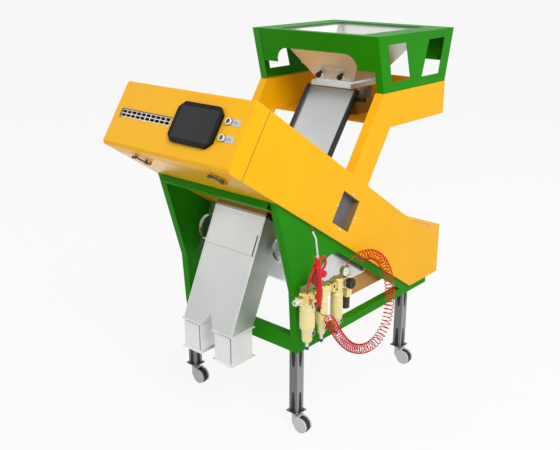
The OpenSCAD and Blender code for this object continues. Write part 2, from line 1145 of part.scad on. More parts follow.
hop_pts = [
    [hop_front, deck_z],
    [hop_back, deck_z],
    [hop_rim_back, rim_z],
    [hop_rim_front, rim_z]
];
hop_lean_f = (hop_front - hop_rim_front) / (rim_z - deck_z);
hop_lean_b = (hop_rim_back - hop_back) / (rim_z - deck_z);
function hop_f(z) = hop_front - (z - deck_z) * hop_lean_f;
function hop_b(z) = hop_back + (z - deck_z) * hop_lean_b;
win_top = rim_z - 40;
win_low = deck_z + 43;
win_mid = (hop_front + hop_back) / 2;
pane_edge = 72;
pane_low = 48;
pane_top = 98;

// Green hopper shell with two windows in each side and an arch in the front plate
module hopper_shell() {
    color([0.13, 0.55, 0.13])
        difference() {
            across(-hop_x, 2 * hop_x)
                polygon(hop_pts);
            across(sheet - hop_x, 2 * (hop_x - sheet))
                polygon([
                    [hop_f(deck_z - cut) + sheet, deck_z - cut],
                    [hop_b(deck_z - cut) - sheet, deck_z - cut],
                    [hop_b(rim_z - sheet) - sheet, rim_z - sheet],
                    [hop_f(rim_z - sheet) + sheet, rim_z - sheet]
                ]);
            translate([-hop_half, mouth_front, rim_z - 2 * sheet])
                cube([2 * hop_half, mouth_back - mouth_front, 4 * sheet]);
            across(-wide / 2, wide)
                polygon([
                    [hop_f(win_low) + pane_edge, win_low],
                    [win_mid - pane_low, win_low],
                    [win_mid - pane_top, win_top],
                    [hop_f(win_top) + pane_edge, win_top]
                ]);
            across(-wide / 2, wide)
                polygon([
                    [win_mid + pane_low, win_low],
                    [hop_b(win_low) - pane_edge, win_low],
                    [hop_b(win_top) - pane_edge, win_top],
                    [win_mid + pane_top, win_top]
                ]);
            translate([0, wide, 0])
                rotate([90, 0, 0])
                    linear_extrude(2 * wide) {
                        translate([-post_x, deck_z - cut])
                            square([2 * post_x, tab_z - deck_z + cut]);
                        translate([-arch_half - arch_r, tab_z - cut])
                            square([2 * (arch_half + arch_r), arch_z - arch_r - tab_z + cut]);
                        translate([-arch_half, tab_z - cut])
                            square([2 * arch_half, arch_z - tab_z + cut]);
                        for (x = [-arch_half, arch_half])
                            translate([x, arch_z - arch_r])
                                circle(r = arch_r);
                    }
        }
}

funnel_top = rim_z - sheet;
funnel_lean = atan((neck_front - mouth_front + funnel_lap) / (funnel_top - neck_end));

module funnel_form(d) {
    z0 = neck_end - (d > 0 ? cut : 0);
    intersection() {
        across(-wide / 2, wide)
            polygon([
                [neck_front + d, z0],
                [neck_back - d, z0],
                [mouth_back + funnel_lap - d, funnel_top],
                [mouth_front - funnel_lap + d, funnel_top]
            ]);
        translate([0, wide, 0])
            rotate([90, 0, 0])
                linear_extrude(wide)
                    polygon([
                        [-neck_half + d, z0],
                        [neck_half - d, z0],
                        [hop_half + funnel_lap - d, funnel_top],
                        [-hop_half - funnel_lap + d, funnel_top]
                    ]);
    }
}

// Places children on the front wall of the funnel: up its slope along z, out of it along minus y
module on_funnel() {
    translate([0, neck_front, neck_end])
        rotate([funnel_lean, 0, 0])
            children();
}

gate_y = -pane_t - gap;

// Stainless funnel with the studs of the feed gate
module hopper_funnel() {
    color([0.8, 0.81, 0.82]) {
        difference() {
            funnel_form(0);
            funnel_form(pane_t);
            translate([-hop_half, mouth_front, rim_z - 5 * sheet])
                cube([2 * hop_half, mouth_back - mouth_front, wide]);
            on_funnel()
                translate([3 * pane_t - neck_half, -cut, -3 * cut])
                    cube([2 * (neck_half - 3 * pane_t), pane_t + 2 * cut, gate_travel + 3 * cut]);
        }
        on_funnel()
            for (k = [-1, 1])
                translate([k * knob_x, 2 * pane_t - knob_l, knob_up])
                    rod_y(stud_r, knob_l - 2 * pane_t + cut);
    }
}

// Sliding gate with two slots for the knob studs
module feed_gate() {
    color([0.72, 0.73, 0.75])
        on_funnel()
            difference() {
                translate([-neck_half, gate_y, 0])
                    cube([2 * neck_half, pane_t, gate_h]);
                for (k = [-1, 1]) {
                    translate([k * knob_x - stud_r - gap, gate_y - cut, knob_up - gate_travel - stud_r])
                        cube([2 * (stud_r + gap), pane_t + 2 * cut, gate_travel + stud_r]);
                    for (z = [knob_up, knob_up - gate_travel - gap])
                        translate([k * knob_x, gate_y - cut, z])
                            rod_y(stud_r + gap, pane_t + 2 * cut);
                }
            }
}

module gate_knob(x) {
    color([0.08, 0.08, 0.08])
        on_funnel()
            translate([x, gate_y - gap - knob_l, knob_up])
                difference() {
                    union() {
                        rod_y(knob_r, knob_l * 0.55);
                        rod_y(knob_r * 0.6, knob_l);
                    }
                    translate([0, knob_l * 0.1, 0])
                        rod_y(stud_r + run, knob_l);
                }
}

module gate_knob_left() {
    gate_knob(-knob_x);
}

module gate_knob_right() {
    gate_knob(knob_x);
}

tray_half = neck_half + 3 * pane_t;

// Vibrating tray with a foot for the leaf springs
module feeder_tray() {
    color([0.8, 0.81, 0.82]) {
        difference() {
            translate([-tray_half, tray_front, tray_z])
                cube([2 * tray_half, tray_back - tray_front, tray_h]);
            translate([tray_t - tray_half, tray_front - cut, tray_z + tray_t])
                cube([2 * (tray_half - tray_t), tray_back - tray_front + cut - tray_t, tray_h]);
        }
        translate([-spring_half, drive_y + 20, tray_z - 14])
            cube([2 * spring_half, drive_l - 40, 14]);
    }
}

// Two leaf springs, stood on the drive and ending just below the tray
module feeder_springs() {
    color([0.3, 0.3, 0.32])
        for (y = [drive_y + 30, drive_y + drive_l - 30])
            translate([-spring_half, y, deck_under + sheet + drive_h])
                cube([2 * spring_half, spring_t, tray_z - 14 - gap - deck_under - sheet - drive_h]);
}

// Electromagnetic drive on the deck
module feeder_drive() {
    color([0.16, 0.17, 0.18])
        translate([0, drive_y, deck_under + sheet]) {
            translate([-drive_half, 0, 0])
                cube([2 * drive_half, drive_l, drive_h]);
            translate([0, drive_l / 2, 0])
                cylinder(r = spring_half / 2, h = drive_h + 25);
        }
}

deck_half = half - arm_t;

// Deck between the platform boxes, folded up at the back
module feeder_deck() {
    color([0.85, 0.6, 0.12])
        difference() {
            translate([-deck_half, arm_under_y, deck_under])
                cube([2 * deck_half, deck_back - arm_under_y, deck_h]);
            translate([-deck_half - cut, arm_under_y - cut, deck_under + sheet])
                cube([2 * (deck_half + cut), deck_back - arm_under_y - sheet + cut, deck_h]);
        }
}

// Stainless slide
module feed_chute() {
    color([0.8, 0.81, 0.82])
        on_chute()
            translate([-chute_half, 0, 0])
                cube([2 * chute_half, chute_len, pane_t]);
}

// Black side rails of the slide with two posts to the deck and a stub at the right
module chute_rails() {
    color([0.1, 0.1, 0.1])
        difference() {
            union() {
                on_chute() {
                    for (x = [-chute_half - rail_w, chute_half])
                        translate([x, 0, pane_t - rail_h / 2])
                            cube([rail_w, chute_len, rail_h]);
                    translate([-chute_half - cut, 0, -rail_h / 2])
                        cube([2 * (chute_half + cut), tie, rail_h / 2]);
                }
                for (x = [-tie_x - tie, tie_x])
                    translate([x, chute_top.x - tie, deck_under + sheet])
                        cube([tie, tie, chute_top.y - deck_under - sheet]);
                translate([chute_half, chute_top.x - tie, chute_top.y - tie - rail_h])
                    cube([rail_w + stub_l, tie, tie]);
            }
            on_chute()
                translate([-chute_half, -wide / 2, 0])
                    cube([2 * chute_half, wide, wide]);
        }
}

out_back = [out_foot.x + out_d, out_foot.y];
out_pts = [
    out_foot,
    out_back,
    out_meet(out_back),
    out_top
];
// Where a line parallel to the outlet front meets the plane of its top edge
function out_meet(p) = let (
    t = body_t + out_drop,
    k = (plane_z(p.x, t) - p.y) / (1 + out_slope * sn / cs)
) p + k * [out_slope, 1];

module outlet_wedge(d) {
    translate([0, wide, 0])
        rotate([90, 0, 0])
            linear_extrude(2 * wide)
                polygon([
                    [-notch_half - d, out_foot.y - cut - d],
                    [notch_half + d, out_foot.y - cut - d],
                    [0, out_foot.y + notch_h + 2 * d]
                ]);
}

out_hollow = inset(out_pts, pane_t);

// Stainless outlet chute that splits into two legs
module outlet_chute() {
    color([0.8, 0.81, 0.82])
        difference() {
            across(-out_half, 2 * out_half)
                polygon(out_pts);
            difference() {
                across(pane_t - out_half, 2 * (out_half - pane_t))
                    polygon([
                        out_hollow[0] - [out_slope, 1] * 2 * pane_t,
                        out_hollow[1] - [out_slope, 1] * 2 * pane_t,
                        out_hollow[2] + [out_slope, 1] * 4 * pane_t,
                        out_hollow[3] + [out_slope, 1] * 4 * pane_t
                    ]);
                outlet_wedge(pane_t);
            }
            outlet_wedge(0);
        }
}

// Two flanged outlet boxes
module outlet_boxes() {
    w = box_out - box_in;
    color([0.8, 0.81, 0.82])
        both_sides()
            translate([box_in, box_y, out_foot.y - out_box_h])
                difference() {
                    union() {
                        translate([rim, rim, 0])
                            cube([w - 2 * rim, box_d - 2 * rim, out_box_h]);
                        cube([w, box_d, rim_t]);
                        translate([0, 0, out_box_h - rim_t])
                            cube([w, box_d, rim_t]);
                    }
                    translate([rim + pane_t, rim + pane_t, -cut])
                        cube([w - 2 * (rim + pane_t), box_d - 2 * (rim + pane_t), out_box_h + 2 * cut]);
                }
}

coll_k = (plane_z(out_back.x, body_t) - out_back.y) / (1 + out_slope * sn / cs);
coll_pts = [
    [coll_knee, coll_z],
    [coll_back, coll_z],
    [coll_back, plane_z(coll_back, body_t) - run],
    out_back + coll_k * [out_slope, 1] + [run, -run],
    out_back + (coll_lip - out_back.y) * [out_slope, 1] + [run, 0]
];
coll_hollow = inset(coll_pts, pane_t);
coll_lean = atan(out_slope);

// A rod square to the front of the collecting box at both dust ports
module port_rods(r, from, l) {
    for (x = [-port_x, port_x])
        translate([x, out_back.x + (port_z - out_back.y) * out_slope, port_z])
            rotate([90 - coll_lean, 0, 0])
                translate([0, 0, from])
                    cylinder(r = r, h = l);
}

// Stainless collecting box under the head with two dust ports on its front
module collector_box() {
    color([0.85, 0.85, 0.86])
        difference() {
            union() {
                across(-coll_x, 2 * coll_x)
                    polygon(coll_pts);
                port_rods(port_r, -pane_t, port_l + pane_t);
            }
            across(pane_t - coll_x, 2 * (coll_x - pane_t))
                polygon([
                    coll_hollow[0],
                    coll_hollow[1],
                    coll_hollow[2] + 3 * pane_t * [0, 1],
                    coll_hollow[3] + 3 * pane_t * [out_slope, 1],
                    coll_hollow[4]
                ]);
            port_rods(port_r - sheet, -port_l, 3 * port_l);
        }
}

mani_x = air_x - mani_h / 2;

// Plate on the base panel and two arms to the manifold
module air_bracket() {
    color([0.8, 0.8, 0.72]) {
        translate([base_x, plate_y, air_z - plate_h / 2])
            cube([sheet, plate_l, plate_h]);
        for (i = [0, 1])
            translate([base_x + sheet, (unit_y[i] + unit_y[i + 1] - arm_l) / 2, air_z - mani_h / 2])
                cube([mani_x - base_x - sheet, arm_l, mani_h]);
    }
}

// Manifold bar with the three filter heads and the lug that holds the gun
module air_manifold() {
    color([0.92, 0.86, 0.62]) {
        translate([mani_x, port_y + nut_l, air_z - mani_h / 2])
            cube([mani_h, mani_end - port_y - nut_l, mani_h]);
        translate([air_x, gun_y - rest_w / 2, air_z])
            cube([gun_x - gun_t / 2 - air_x, rest_w, rest_h]);
        for (i = [0 : 2]) {
            translate([air_x - head_w / 2 + sheet, unit_y[i] - head_w / 2, air_z - head_h / 2])
                cube([head_w - sheet, head_w, head_h]);
            translate([air_x, unit_y[i], bowl_top])
                cylinder(r = bowl_r[i] * 0.9, h = air_z - bowl_top);
        }
    }
}

// Three bowls with their narrower cups, drain stems and hose tips
module filter_bowls() {
    color([0.94, 0.88, 0.65])
        for (i = [0 : 2])
            translate([air_x, unit_y[i], 0]) {
                translate([0, 0, bowl_low[i]])
                    cylinder(r = bowl_r[i], h = bowl_top - bowl_low[i]);
                translate([0, 0, cup_low])
                    cylinder(
                        r1 = bowl_r[i] * cup_share * 0.8,
                        r2 = bowl_r[i] * cup_share,
                        h = bowl_low[i] - cup_low
                    );
                translate([0, 0, stem_low])
                    cylinder(r = stem_r, h = cup_low - stem_low);
                translate([0, 0, stem_low])
                    cylinder(r = tip_r, h = tip_l);
            }
}

module pressure_gauge() {
    color([0.2, 0.2, 0.2])
        translate([gauge_x - gauge_t, gauge_y, air_z + mani_h / 2]) {
            translate([0, 0, gauge_r + gauge_lift])
                rod_x(gauge_r, gauge_t);
            translate([air_x - gauge_x + gauge_t, 0, 0])
                cylinder(r = stem_r, h = gauge_r);
        }
}

module regulator_knob() {
    color([0.08, 0.08, 0.08])
        translate([mani_x + mani_h + gap, knob_y, air_z - knob_drop])
            difference() {
                union() {
                    translate([6, 0, 0])
                        rod_x(knob_air_r, knob_air_l);
                    rod_x(knob_air_r * 0.7, knob_air_l);
                }
                translate([-cut, 0, 0])
                    rod_x(stud_r + run, knob_air_l * 0.6);
            }
}

// Inlet nut, regulator stem, dead-end plug and the swivel for the hose
module air_fittings() {
    color([0.82, 0.82, 0.8]) {
        translate([air_x, port_y, air_z])
            difference() {
                rod_y(nut_r, nut_l);
                translate([0, -cut, 0])
                    rod_y(inlet_r, inlet_l + cut);
            }
        translate([mani_x + mani_h, knob_y, air_z - knob_drop])
            rod_x(stud_r, knob_air_l * 0.5);
        translate([air_x, plug_y, air_z - mani_h / 2 - plug_l])
            cylinder(r = plug_r, h = plug_l);
        translate([hose_end.x, hose_end.y, air_z + mani_h / 2])
            cylinder(r = fit_r, h = hose_end.z - air_z - mani_h / 2);
    }
}

gun_pts = [
    [gun_y - gun_w / 2, gun_low + 20],
    [gun_y + gun_w / 2, gun_low + 20],
    [gun_y + gun_w / 2 + 2, gun_top - gun_neck],
    [gun_y + gun_w / 2 - 4, gun_top],
    [gun_y - gun_w / 2 - 2, gun_top],
    [gun_y - gun_w / 2 - 2, gun_top - gun_brow],
    [gun_y - gun_w / 2 + 4, gun_top - gun_waist]
];

// Hanging blow gun: grip, head, hook eye and hose nipple
module gun_body() {
    color([0.8, 0.1, 0.12])
        difference() {
            union() {
                across(gun_x - gun_t / 2, gun_t)
                    polygon(gun_pts);
                translate([gun_x - gun_t / 2, eye_y, eye_z])
                    rod_x(eye_r * 3, gun_t);
                translate([gun_x - gun_t / 2, gun_y, eye_z - eye_r * 1.5])
                    cube([gun_t, eye_y - gun_y, eye_r * 3]);
                translate([gun_x, gun_y, gun_low - 22])
                    cylinder(r = fit_r, h = 46);
                for (k = [-1, 1])
                    translate([gun_x + k * (gun_t / 2 - 2) - 2, gun_y - gun_w / 2 - 14, lever_pin_z - 8])
                        cube([4, 20, 16]);
            }
            translate([gun_x - gun_t, eye_y, eye_z])
                rod_x(eye_r, 2 * gun_t);
            translate([gun_x - gun_t, gun_y - gun_w / 2 - 9, lever_pin_z])
                rod_x(lever_r + run, 2 * gun_t);
        }
}

// Squeeze lever on its pin, hanging in front of the grip
module gun_lever() {
    color([0.8, 0.1, 0.12]) {
        y0 = gun_y - gun_w / 2 - 9;
        lw = gun_t - 8 - 2 * gap;
        across(gun_x - lw / 2, lw)
            polygon([
                [y0 - lever_t / 2, lever_pin_z],
                [y0 - lever_t / 2 - lever_bow, lever_pin_z - lever_l * 0.55],
                [y0 - lever_t / 2 - lever_toe, lever_pin_z - lever_l],
                [y0 + lever_t / 2 - lever_toe, lever_pin_z - lever_l],
                [y0 + lever_t / 2 - lever_bow, lever_pin_z - lever_l * 0.55],
                [y0 + lever_t / 2, lever_pin_z]
            ]);
        translate([gun_x - lw / 2, y0, lever_pin_z])
            rod_x(lever_t * 0.7, lw);
        translate([gun_x - gun_t / 2, y0, lever_pin_z])
            rod_x(lever_r, gun_t);
    }
}

// Bent silver nozzle
module gun_nozzle() {
    color([0.8, 0.8, 0.82])
        translate([gun_x, gun_y - 4, gun_top]) {
            cylinder(r = nozzle_r + 2, h = nozzle_neck);
            translate([0, 0, nozzle_neck])
                rotate([nozzle_lean, 0, 0]) {
                    translate([0, 0, -nozzle_r])
                        cylinder(r = nozzle_r, h = nozzle_low + nozzle_r);
                    translate([0, 0, nozzle_low]) {
                        sphere(r = nozzle_r + gap);
                        rotate([nozzle_bend - nozzle_lean, 0, 0])
                            cylinder(r = nozzle_r, h = nozzle_up);
                    }
                }
        }
}

// Envelope of the coiled hose along its route
module spiral_hose() {
    n = len(route);
    pts = [for (i = [0 : n - 1]) each ring_pts(i)];
    sides = [
        for (i = [0 : n - 2])
            for (k = [0 : hose_sides - 1])
                let (a = i * hose_sides, b = a + hose_sides, m = (k + 1) % hose_sides)
                    [a + k, a + m, b + m, b + k]
    ];
    first = [for (k = [hose_sides - 1 : -1 : 0]) k];
    last = [for (k = [0 : hose_sides - 1]) (n - 1) * hose_sides + k];
    color([0.85, 0.1, 0.12])
        polyhedron(points = pts, faces = concat([first], sides, [last]));
}

at_origin() base_frame();
at_origin() base_panel_left();
at_origin() base_panel_right();
at_origin() legs();
at_origin() foot_plates();
at_origin() castor_fork_fl();
at_origin() castor_fork_fr();
at_origin() castor_fork_bl();
at_origin() castor_fork_br();
at_origin() castor_wheel_fl();
at_origin() castor_wheel_fr();
at_origin() castor_wheel_bl();
at_origin() castor_wheel_br();
at_origin() side_panel_left();
at_origin() side_panel_right();
at_origin() arm_box_left();
at_origin() arm_box_right();
at_origin() top_cover();
at_origin() bottom_cover();
at_origin() rear_cover();
at_origin() front_cover();
at_origin() screen_bezel();
at_origin() screen_glass();
at_origin() vent_grille();
at_origin() stop_button();
at_origin() start_button();
at_origin() button_rings();
at_origin() legend_plates();
at_origin() latch_left();
at_origin() latch_right();
at_origin() filter_mats();
at_origin() window_clips();
at_origin() cameras();
at_origin() lamp_bars();
at_origin() ejector_bar();
at_origin() hopper_shell();
at_origin() hopper_funnel();
at_origin() feed_gate();
at_origin() gate_knob_left();
at_origin() gate_knob_right();
at_origin() feeder_tray();
at_origin() feeder_springs();
at_origin() feeder_drive();
at_origin() feeder_deck();
at_origin() feed_chute();
at_origin() chute_rails();
at_origin() outlet_chute();
at_origin() outlet_boxes();
at_origin() collector_box();
at_origin() air_bracket();
at_origin() air_manifold();
at_origin() filter_bowls();
at_origin() pressure_gauge();
at_origin() regulator_knob();
at_origin() air_fittings();
at_origin() gun_body();
at_origin() gun_lever();
at_origin() gun_nozzle();
at_origin() spiral_hose();
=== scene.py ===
import json
import math

import bmesh
import bpy
from mathutils import Matrix, Vector

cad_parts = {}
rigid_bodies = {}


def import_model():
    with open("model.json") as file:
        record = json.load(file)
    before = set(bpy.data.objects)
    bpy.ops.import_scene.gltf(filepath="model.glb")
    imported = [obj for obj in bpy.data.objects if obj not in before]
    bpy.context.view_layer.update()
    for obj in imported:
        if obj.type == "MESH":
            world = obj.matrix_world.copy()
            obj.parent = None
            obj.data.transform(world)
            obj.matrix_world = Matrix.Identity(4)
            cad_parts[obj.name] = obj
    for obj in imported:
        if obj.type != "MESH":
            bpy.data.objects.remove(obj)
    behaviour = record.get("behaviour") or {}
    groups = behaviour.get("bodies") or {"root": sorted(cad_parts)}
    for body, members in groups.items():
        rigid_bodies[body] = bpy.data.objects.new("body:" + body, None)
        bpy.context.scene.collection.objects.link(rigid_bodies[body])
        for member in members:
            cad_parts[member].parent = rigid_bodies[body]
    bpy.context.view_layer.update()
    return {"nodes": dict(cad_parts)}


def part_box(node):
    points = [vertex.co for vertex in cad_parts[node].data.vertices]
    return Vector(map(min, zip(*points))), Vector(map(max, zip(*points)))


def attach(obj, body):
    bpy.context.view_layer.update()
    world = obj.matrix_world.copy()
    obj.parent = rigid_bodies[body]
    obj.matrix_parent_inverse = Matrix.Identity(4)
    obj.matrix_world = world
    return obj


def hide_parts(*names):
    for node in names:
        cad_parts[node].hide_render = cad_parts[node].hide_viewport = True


for stray in list(bpy.data.objects):
    bpy.data.objects.remove(stray)

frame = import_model()
scene = bpy.context.scene
scene.view_settings.view_transform = "Standard"
nodes = frame["nodes"]

# Shared sizes of the part, in millimetres of its drawing, and its main directions
MM = 0.001
MID_Y = 630.0
HALF = 370.0
FRONT_Z = 1544.0
HEAD_T = 290.0
TILT = math.radians(33.7)
SN, CS = math.sin(TILT), math.cos(TILT)
CORNERS = ("fl", "fr", "bl", "br")
X, Y, Z = Vector((1, 0, 0)), Vector((0, 1, 0)), Vector((0, 0, 1))
FRONT_OUT = Vector((0, -CS, SN))
FRONT_DOWN = Vector((0, -SN, -CS))
HEAD_ALONG = Vector((0, CS, -SN))


def at(x, y, z):
    """A point of the drawing, in metres of the frame."""
    return Vector((x, y - MID_Y, z)) * MM


def on_front(x, down, out):
    """A point on the front cover: across, down its face and out of it."""
    return at(x, -out * CS - down * SN, FRONT_Z + out * SN - down * CS)


def on_head(x, along, inward):
    """A point of the head: across, along its slope and square into it."""
    return on_front(x, inward, -along)


# Camera
CAM_AZ = math.radians(41.216)
CAM_EL = math.radians(19.081)
CAM_PLACE = (2.2973, -2.7054, 2.0424)
LENS = 50.125
SENSOR_W = 36


def make_camera():
    flat = math.cos(CAM_EL)
    back = Vector((math.sin(CAM_AZ) * flat, -math.cos(CAM_AZ) * flat, math.sin(CAM_EL)))
    right = Vector((math.cos(CAM_AZ), math.sin(CAM_AZ), 0))
    turn = Matrix((right, back.cross(right), back)).transposed()
    data = bpy.data.cameras.new("camera")
    data.sensor_fit = "HORIZONTAL"
    data.sensor_width = SENSOR_W
    data.lens = LENS
    data.clip_start = 0.05
    data.clip_end = 60
    camera = bpy.data.objects.new("camera", data)
    camera.matrix_world = Matrix.Translation(CAM_PLACE) @ turn.to_4x4()
    scene.collection.objects.link(camera)
    return camera


scene.camera = make_camera()


# Material tools
RELIEF_DEPTH = 0.0006
COAT_ROUGH = 0.12
FINE_EDGE = 0.0008


def lin(r, g, b):
    """Linear colour of an sRGB triple from 0 to 255."""
    def one(v):
        v /= 255
        return v / 12.92 if v <= 0.04045 else ((v + 0.055) / 1.055) ** 2.4
    return (one(r), one(g), one(b), 1.0)


def tone(colour, factor):
    return tuple(min(1.0, c * factor) for c in colour[:3]) + (1.0,)


def add(tree, kind, inputs=None, **props):
    """A new node with its settings, and its inputs set or linked."""
    node = tree.nodes.new(kind)
    for key, value in props.items():
        setattr(node, key, value)
    for key, value in (inputs or {}).items():
        if isinstance(value, bpy.types.NodeSocket):
            tree.links.new(value, node.inputs[key])
        else:
            node.inputs[key].default_value = value
    return node


def mix(tree, share, first, second):
    node = add(tree, "ShaderNodeMix", {0: share, 6: first, 7: second}, data_type="RGBA")
    return node.outputs[2]


def spread(tree, value, low, high, low_in=0.3, high_in=0.7):
    node = add(tree, "ShaderNodeMapRange", {"Value": value, "From Min": low_in, "From Max": high_in,
                                            "To Min": low, "To Max": high})
    return node.outputs["Result"]


def repaint(mat, share_of, rgb):
    """Mixes another colour over a finish, by the share that share_of builds in its node tree."""
    tree = mat.node_tree
    colour = tree.nodes["Principled BSDF"].inputs["Base Color"]
    old = colour.links[0].from_socket
    tree.links.new(mix(tree, share_of(tree), old, lin(*rgb)), colour)


def surface(name, rgb, rough=0.4, metal=0.0, coat=0.0, vary=0.05, cloud=3.0, grain=400.0, bump=0.05,
            spread_rough=0.05, stretch=(1, 1, 1), edge=0.0012, edge_wear_and_highlight=0.0, edge_wear_and_highlight_rgb=(255, 255, 255), spec=0.5):
    """Procedural finish: cloudy tone, fine grain in gloss and relief, rounded edges lightened as wear and as
    a painted highlight.
    """
    mat = bpy.data.materials.new(name)
    mat.use_nodes = True
    tree = mat.node_tree
    bsdf = tree.nodes["Principled BSDF"]
    colour = lin(*rgb)
    place = add(tree, "ShaderNodeTexCoord").outputs["Object"]
    clouds = add(tree, "ShaderNodeTexNoise", {"Vector": place, "Scale": cloud, "Detail": 4.0}).outputs["Fac"]
    aim = add(tree, "ShaderNodeMapping", {"Vector": place, "Scale": stretch}).outputs["Vector"]
    fine = add(tree, "ShaderNodeTexNoise", {"Vector": aim, "Scale": grain, "Detail": 3.0}).outputs["Fac"]
    base = mix(tree, spread(tree, clouds, 0.0, 1.0), tone(colour, 1 - vary), tone(colour, 1 + vary))
    if edge:
        rounded = add(tree, "ShaderNodeBevel", {"Radius": edge}, samples=4).outputs["Normal"]
        # Convex edges lighten towards a second colour: partly wear, partly a painted highlight.
        if edge_wear_and_highlight:
            flat = add(tree, "ShaderNodeNewGeometry").outputs["Normal"]
            same = add(tree, "ShaderNodeVectorMath", {0: rounded, 1: flat}, operation="DOT_PRODUCT")
            rub_and_highlight = spread(tree, same.outputs["Value"], edge_wear_and_highlight, 0.0, 0.86, 0.99)
            base = mix(tree, rub_and_highlight, base, lin(*edge_wear_and_highlight_rgb))
    tree.links.new(base, bsdf.inputs["Base Color"])
    gloss = spread(tree, fine, rough - spread_rough, rough + spread_rough)
    tree.links.new(gloss, bsdf.inputs["Roughness"])
    if bump:
        relief = add(tree, "ShaderNodeBump", {"Height": fine, "Strength": bump, "Distance": RELIEF_DEPTH})
        if edge:
            tree.links.new(rounded, relief.inputs["Normal"])
        tree.links.new(relief.outputs["Normal"], bsdf.inputs["Normal"])
    bsdf.inputs["Metallic"].default_value = metal
    bsdf.inputs["Coat Weight"].default_value = coat
    bsdf.inputs["Coat Roughness"].default_value = COAT_ROUGH
    bsdf.inputs["Specular IOR Level"].default_value = spec
    return mat


# Paint of the head, the stand and the hopper
# Edges of the yellow and green paint lighten: partly wear, partly a painted highlight.
yellow = surface("yellow_paint", (255, 187, 12), 0.32, spec=0.13, vary=0.025, bump=0.02, edge_wear_and_highlight=0.25,
                 edge_wear_and_highlight_rgb=(255, 214, 110), edge=0.0018)
yellow_gloss = surface("yellow_underside", (252, 184, 14), 0.22, spec=0.45, vary=0.03, bump=0.01, edge=0)
yellow_fold = surface("yellow_fold", (255, 187, 12), 0.32, spec=0.13, vary=0.025, bump=0.02, edge=0)
green = surface("green_paint", (35, 140, 5), 0.45, spec=0.08, vary=0.05, bump=0.04, edge_wear_and_highlight=0.3,
                edge_wear_and_highlight_rgb=(90, 176, 60), edge=0.0015)
# Lighter copy of the green paint: a painted highlight on the hopper's left front post.
green_post_highlight = surface("green_post_painted_highlight", (46, 150, 22), 0.45, spec=0.15, vary=0.04, bump=0.04)

# Sheet metal with a brushed grain
BRUSHED = {"grain": 60.0, "stretch": (12, 12, 0.6)}
steel = surface("stainless", (198, 201, 200), 0.34, metal=0.55, vary=0.04, cloud=5.0, bump=0.03,
                spread_rough=0.06, edge=FINE_EDGE, **BRUSHED)
chute_steel = surface("slide_stainless", (182, 185, 185), 0.3, metal=0.85, vary=0.04, cloud=4.0, grain=70.0,
                      spread_rough=0.02, bump=0.006, stretch=(14, 1.0, 0.6), edge=FINE_EDGE)
bright_steel = surface("bright_stainless", (238, 239, 239), 0.3, metal=0.25, vary=0.02, cloud=5.0, bump=0.002,
                       spread_rough=0.02, edge=0, **BRUSHED)
funnel_steel = surface("funnel_stainless", (232, 231, 228), 0.3, metal=0.4, vary=0.02, cloud=4.0, bump=0.003,
                       spread_rough=0.02, edge=FINE_EDGE, **BRUSHED)
polished = surface("polished_stainless", (216, 219, 219), 0.2, metal=0.9, vary=0.03, cloud=4.0, bump=0.015,
                   spread_rough=0.04, edge=FINE_EDGE, **BRUSHED)
satin = surface("satin_stainless", (204, 207, 205), 0.38, metal=0.8, vary=0.04, cloud=4.0, bump=0.03,
                spread_rough=0.05, edge=FINE_EDGE, **BRUSHED)
# Brown of yellow paint in shade with a painted reflection, for the upper collar strip over the outlet.
lip_shade_brown = surface("lip_shadow", (142, 112, 66), 0.4, metal=0.6, vary=0.12, cloud=12.0, bump=0.05, edge=0)
vent = surface("vent_metal", (206, 207, 206), 0.36, metal=0.5, vary=0.05, grain=120.0, stretch=(1, 20, 20),
               bump=0.05)
clip = surface("bright_clip", (232, 233, 232), 0.25, metal=0.5, vary=0.04, bump=0.03)
bolt = surface("bolt_zinc", (196, 198, 198), 0.3, metal=0.85, vary=0.06, bump=0.05, edge=0)

# Legs and castors
# Edges of the legs, the dark steel and the castor hoods lighten: partly wear, partly a painted highlight, on
# the castor hoods nearly all highlight.
alu = surface("leg_aluminium", (116, 118, 119), 0.42, metal=0.25, vary=0.08, cloud=6.0, grain=80.0, bump=0.06,
              stretch=(14, 14, 0.4), edge=FINE_EDGE, edge_wear_and_highlight=0.25)
slot_dark = surface("slot_shadow", (38, 39, 40), 0.6, metal=0.4, vary=0.15, bump=0.1, edge=0)
# Dark steel of the foot plates and latches, also used as painted shade in the pull slot and the door gaps of
# the outlet.
dark_steel = surface("dark_steel", (72, 74, 76), 0.45, metal=0.6, vary=0.12, grain=180.0, bump=0.12, edge_wear_and_highlight=0.4,
                     edge_wear_and_highlight_rgb=(150, 150, 150))
hood = surface("castor_grey", (202, 205, 203), 0.45, vary=0.04, grain=700.0, bump=0.1, edge=0.004, edge_wear_and_highlight=0.9)
rubber = surface("wheel_rubber", (30, 30, 32), 0.72, vary=0.2, grain=900.0, bump=0.25)

# Controls on the front cover
screen_black = surface("screen_plastic", (20, 20, 21), 0.5, spec=0.1, vary=0.15, grain=1200.0, bump=0.12,
                       edge=0.0015)
glass = surface("screen_glass", (52, 52, 53), 0.34, spec=0.06, vary=0.04, cloud=2.0, grain=1500.0, bump=0.008,
                edge=0, spread_rough=0.03)
black = surface("black_plastic", (20, 20, 21), 0.4, vary=0.2, grain=900.0, bump=0.12)
stop_red = surface("stop_red", (98, 32, 26), 0.3, coat=0.15, vary=0.12, bump=0.03, edge=0)
start_green = surface("start_green", (16, 82, 40), 0.3, coat=0.15, vary=0.12, bump=0.03, edge=0)
ring_white = surface("ring_white", (238, 238, 236), 0.32, vary=0.03, bump=0.03)
legend = surface("legend_grey", (186, 187, 186), 0.4, metal=0.3, vary=0.05, grain=200.0, stretch=(1, 20, 20),
                 bump=0.06)
# Grey of the hairlines on the legend plates, also used as a painted shadow under the outlet hatch.
legend_ink_and_shade = surface("legend_groove_and_shade", (120, 122, 124), 0.5, vary=0.1, bump=0.1, edge=0)
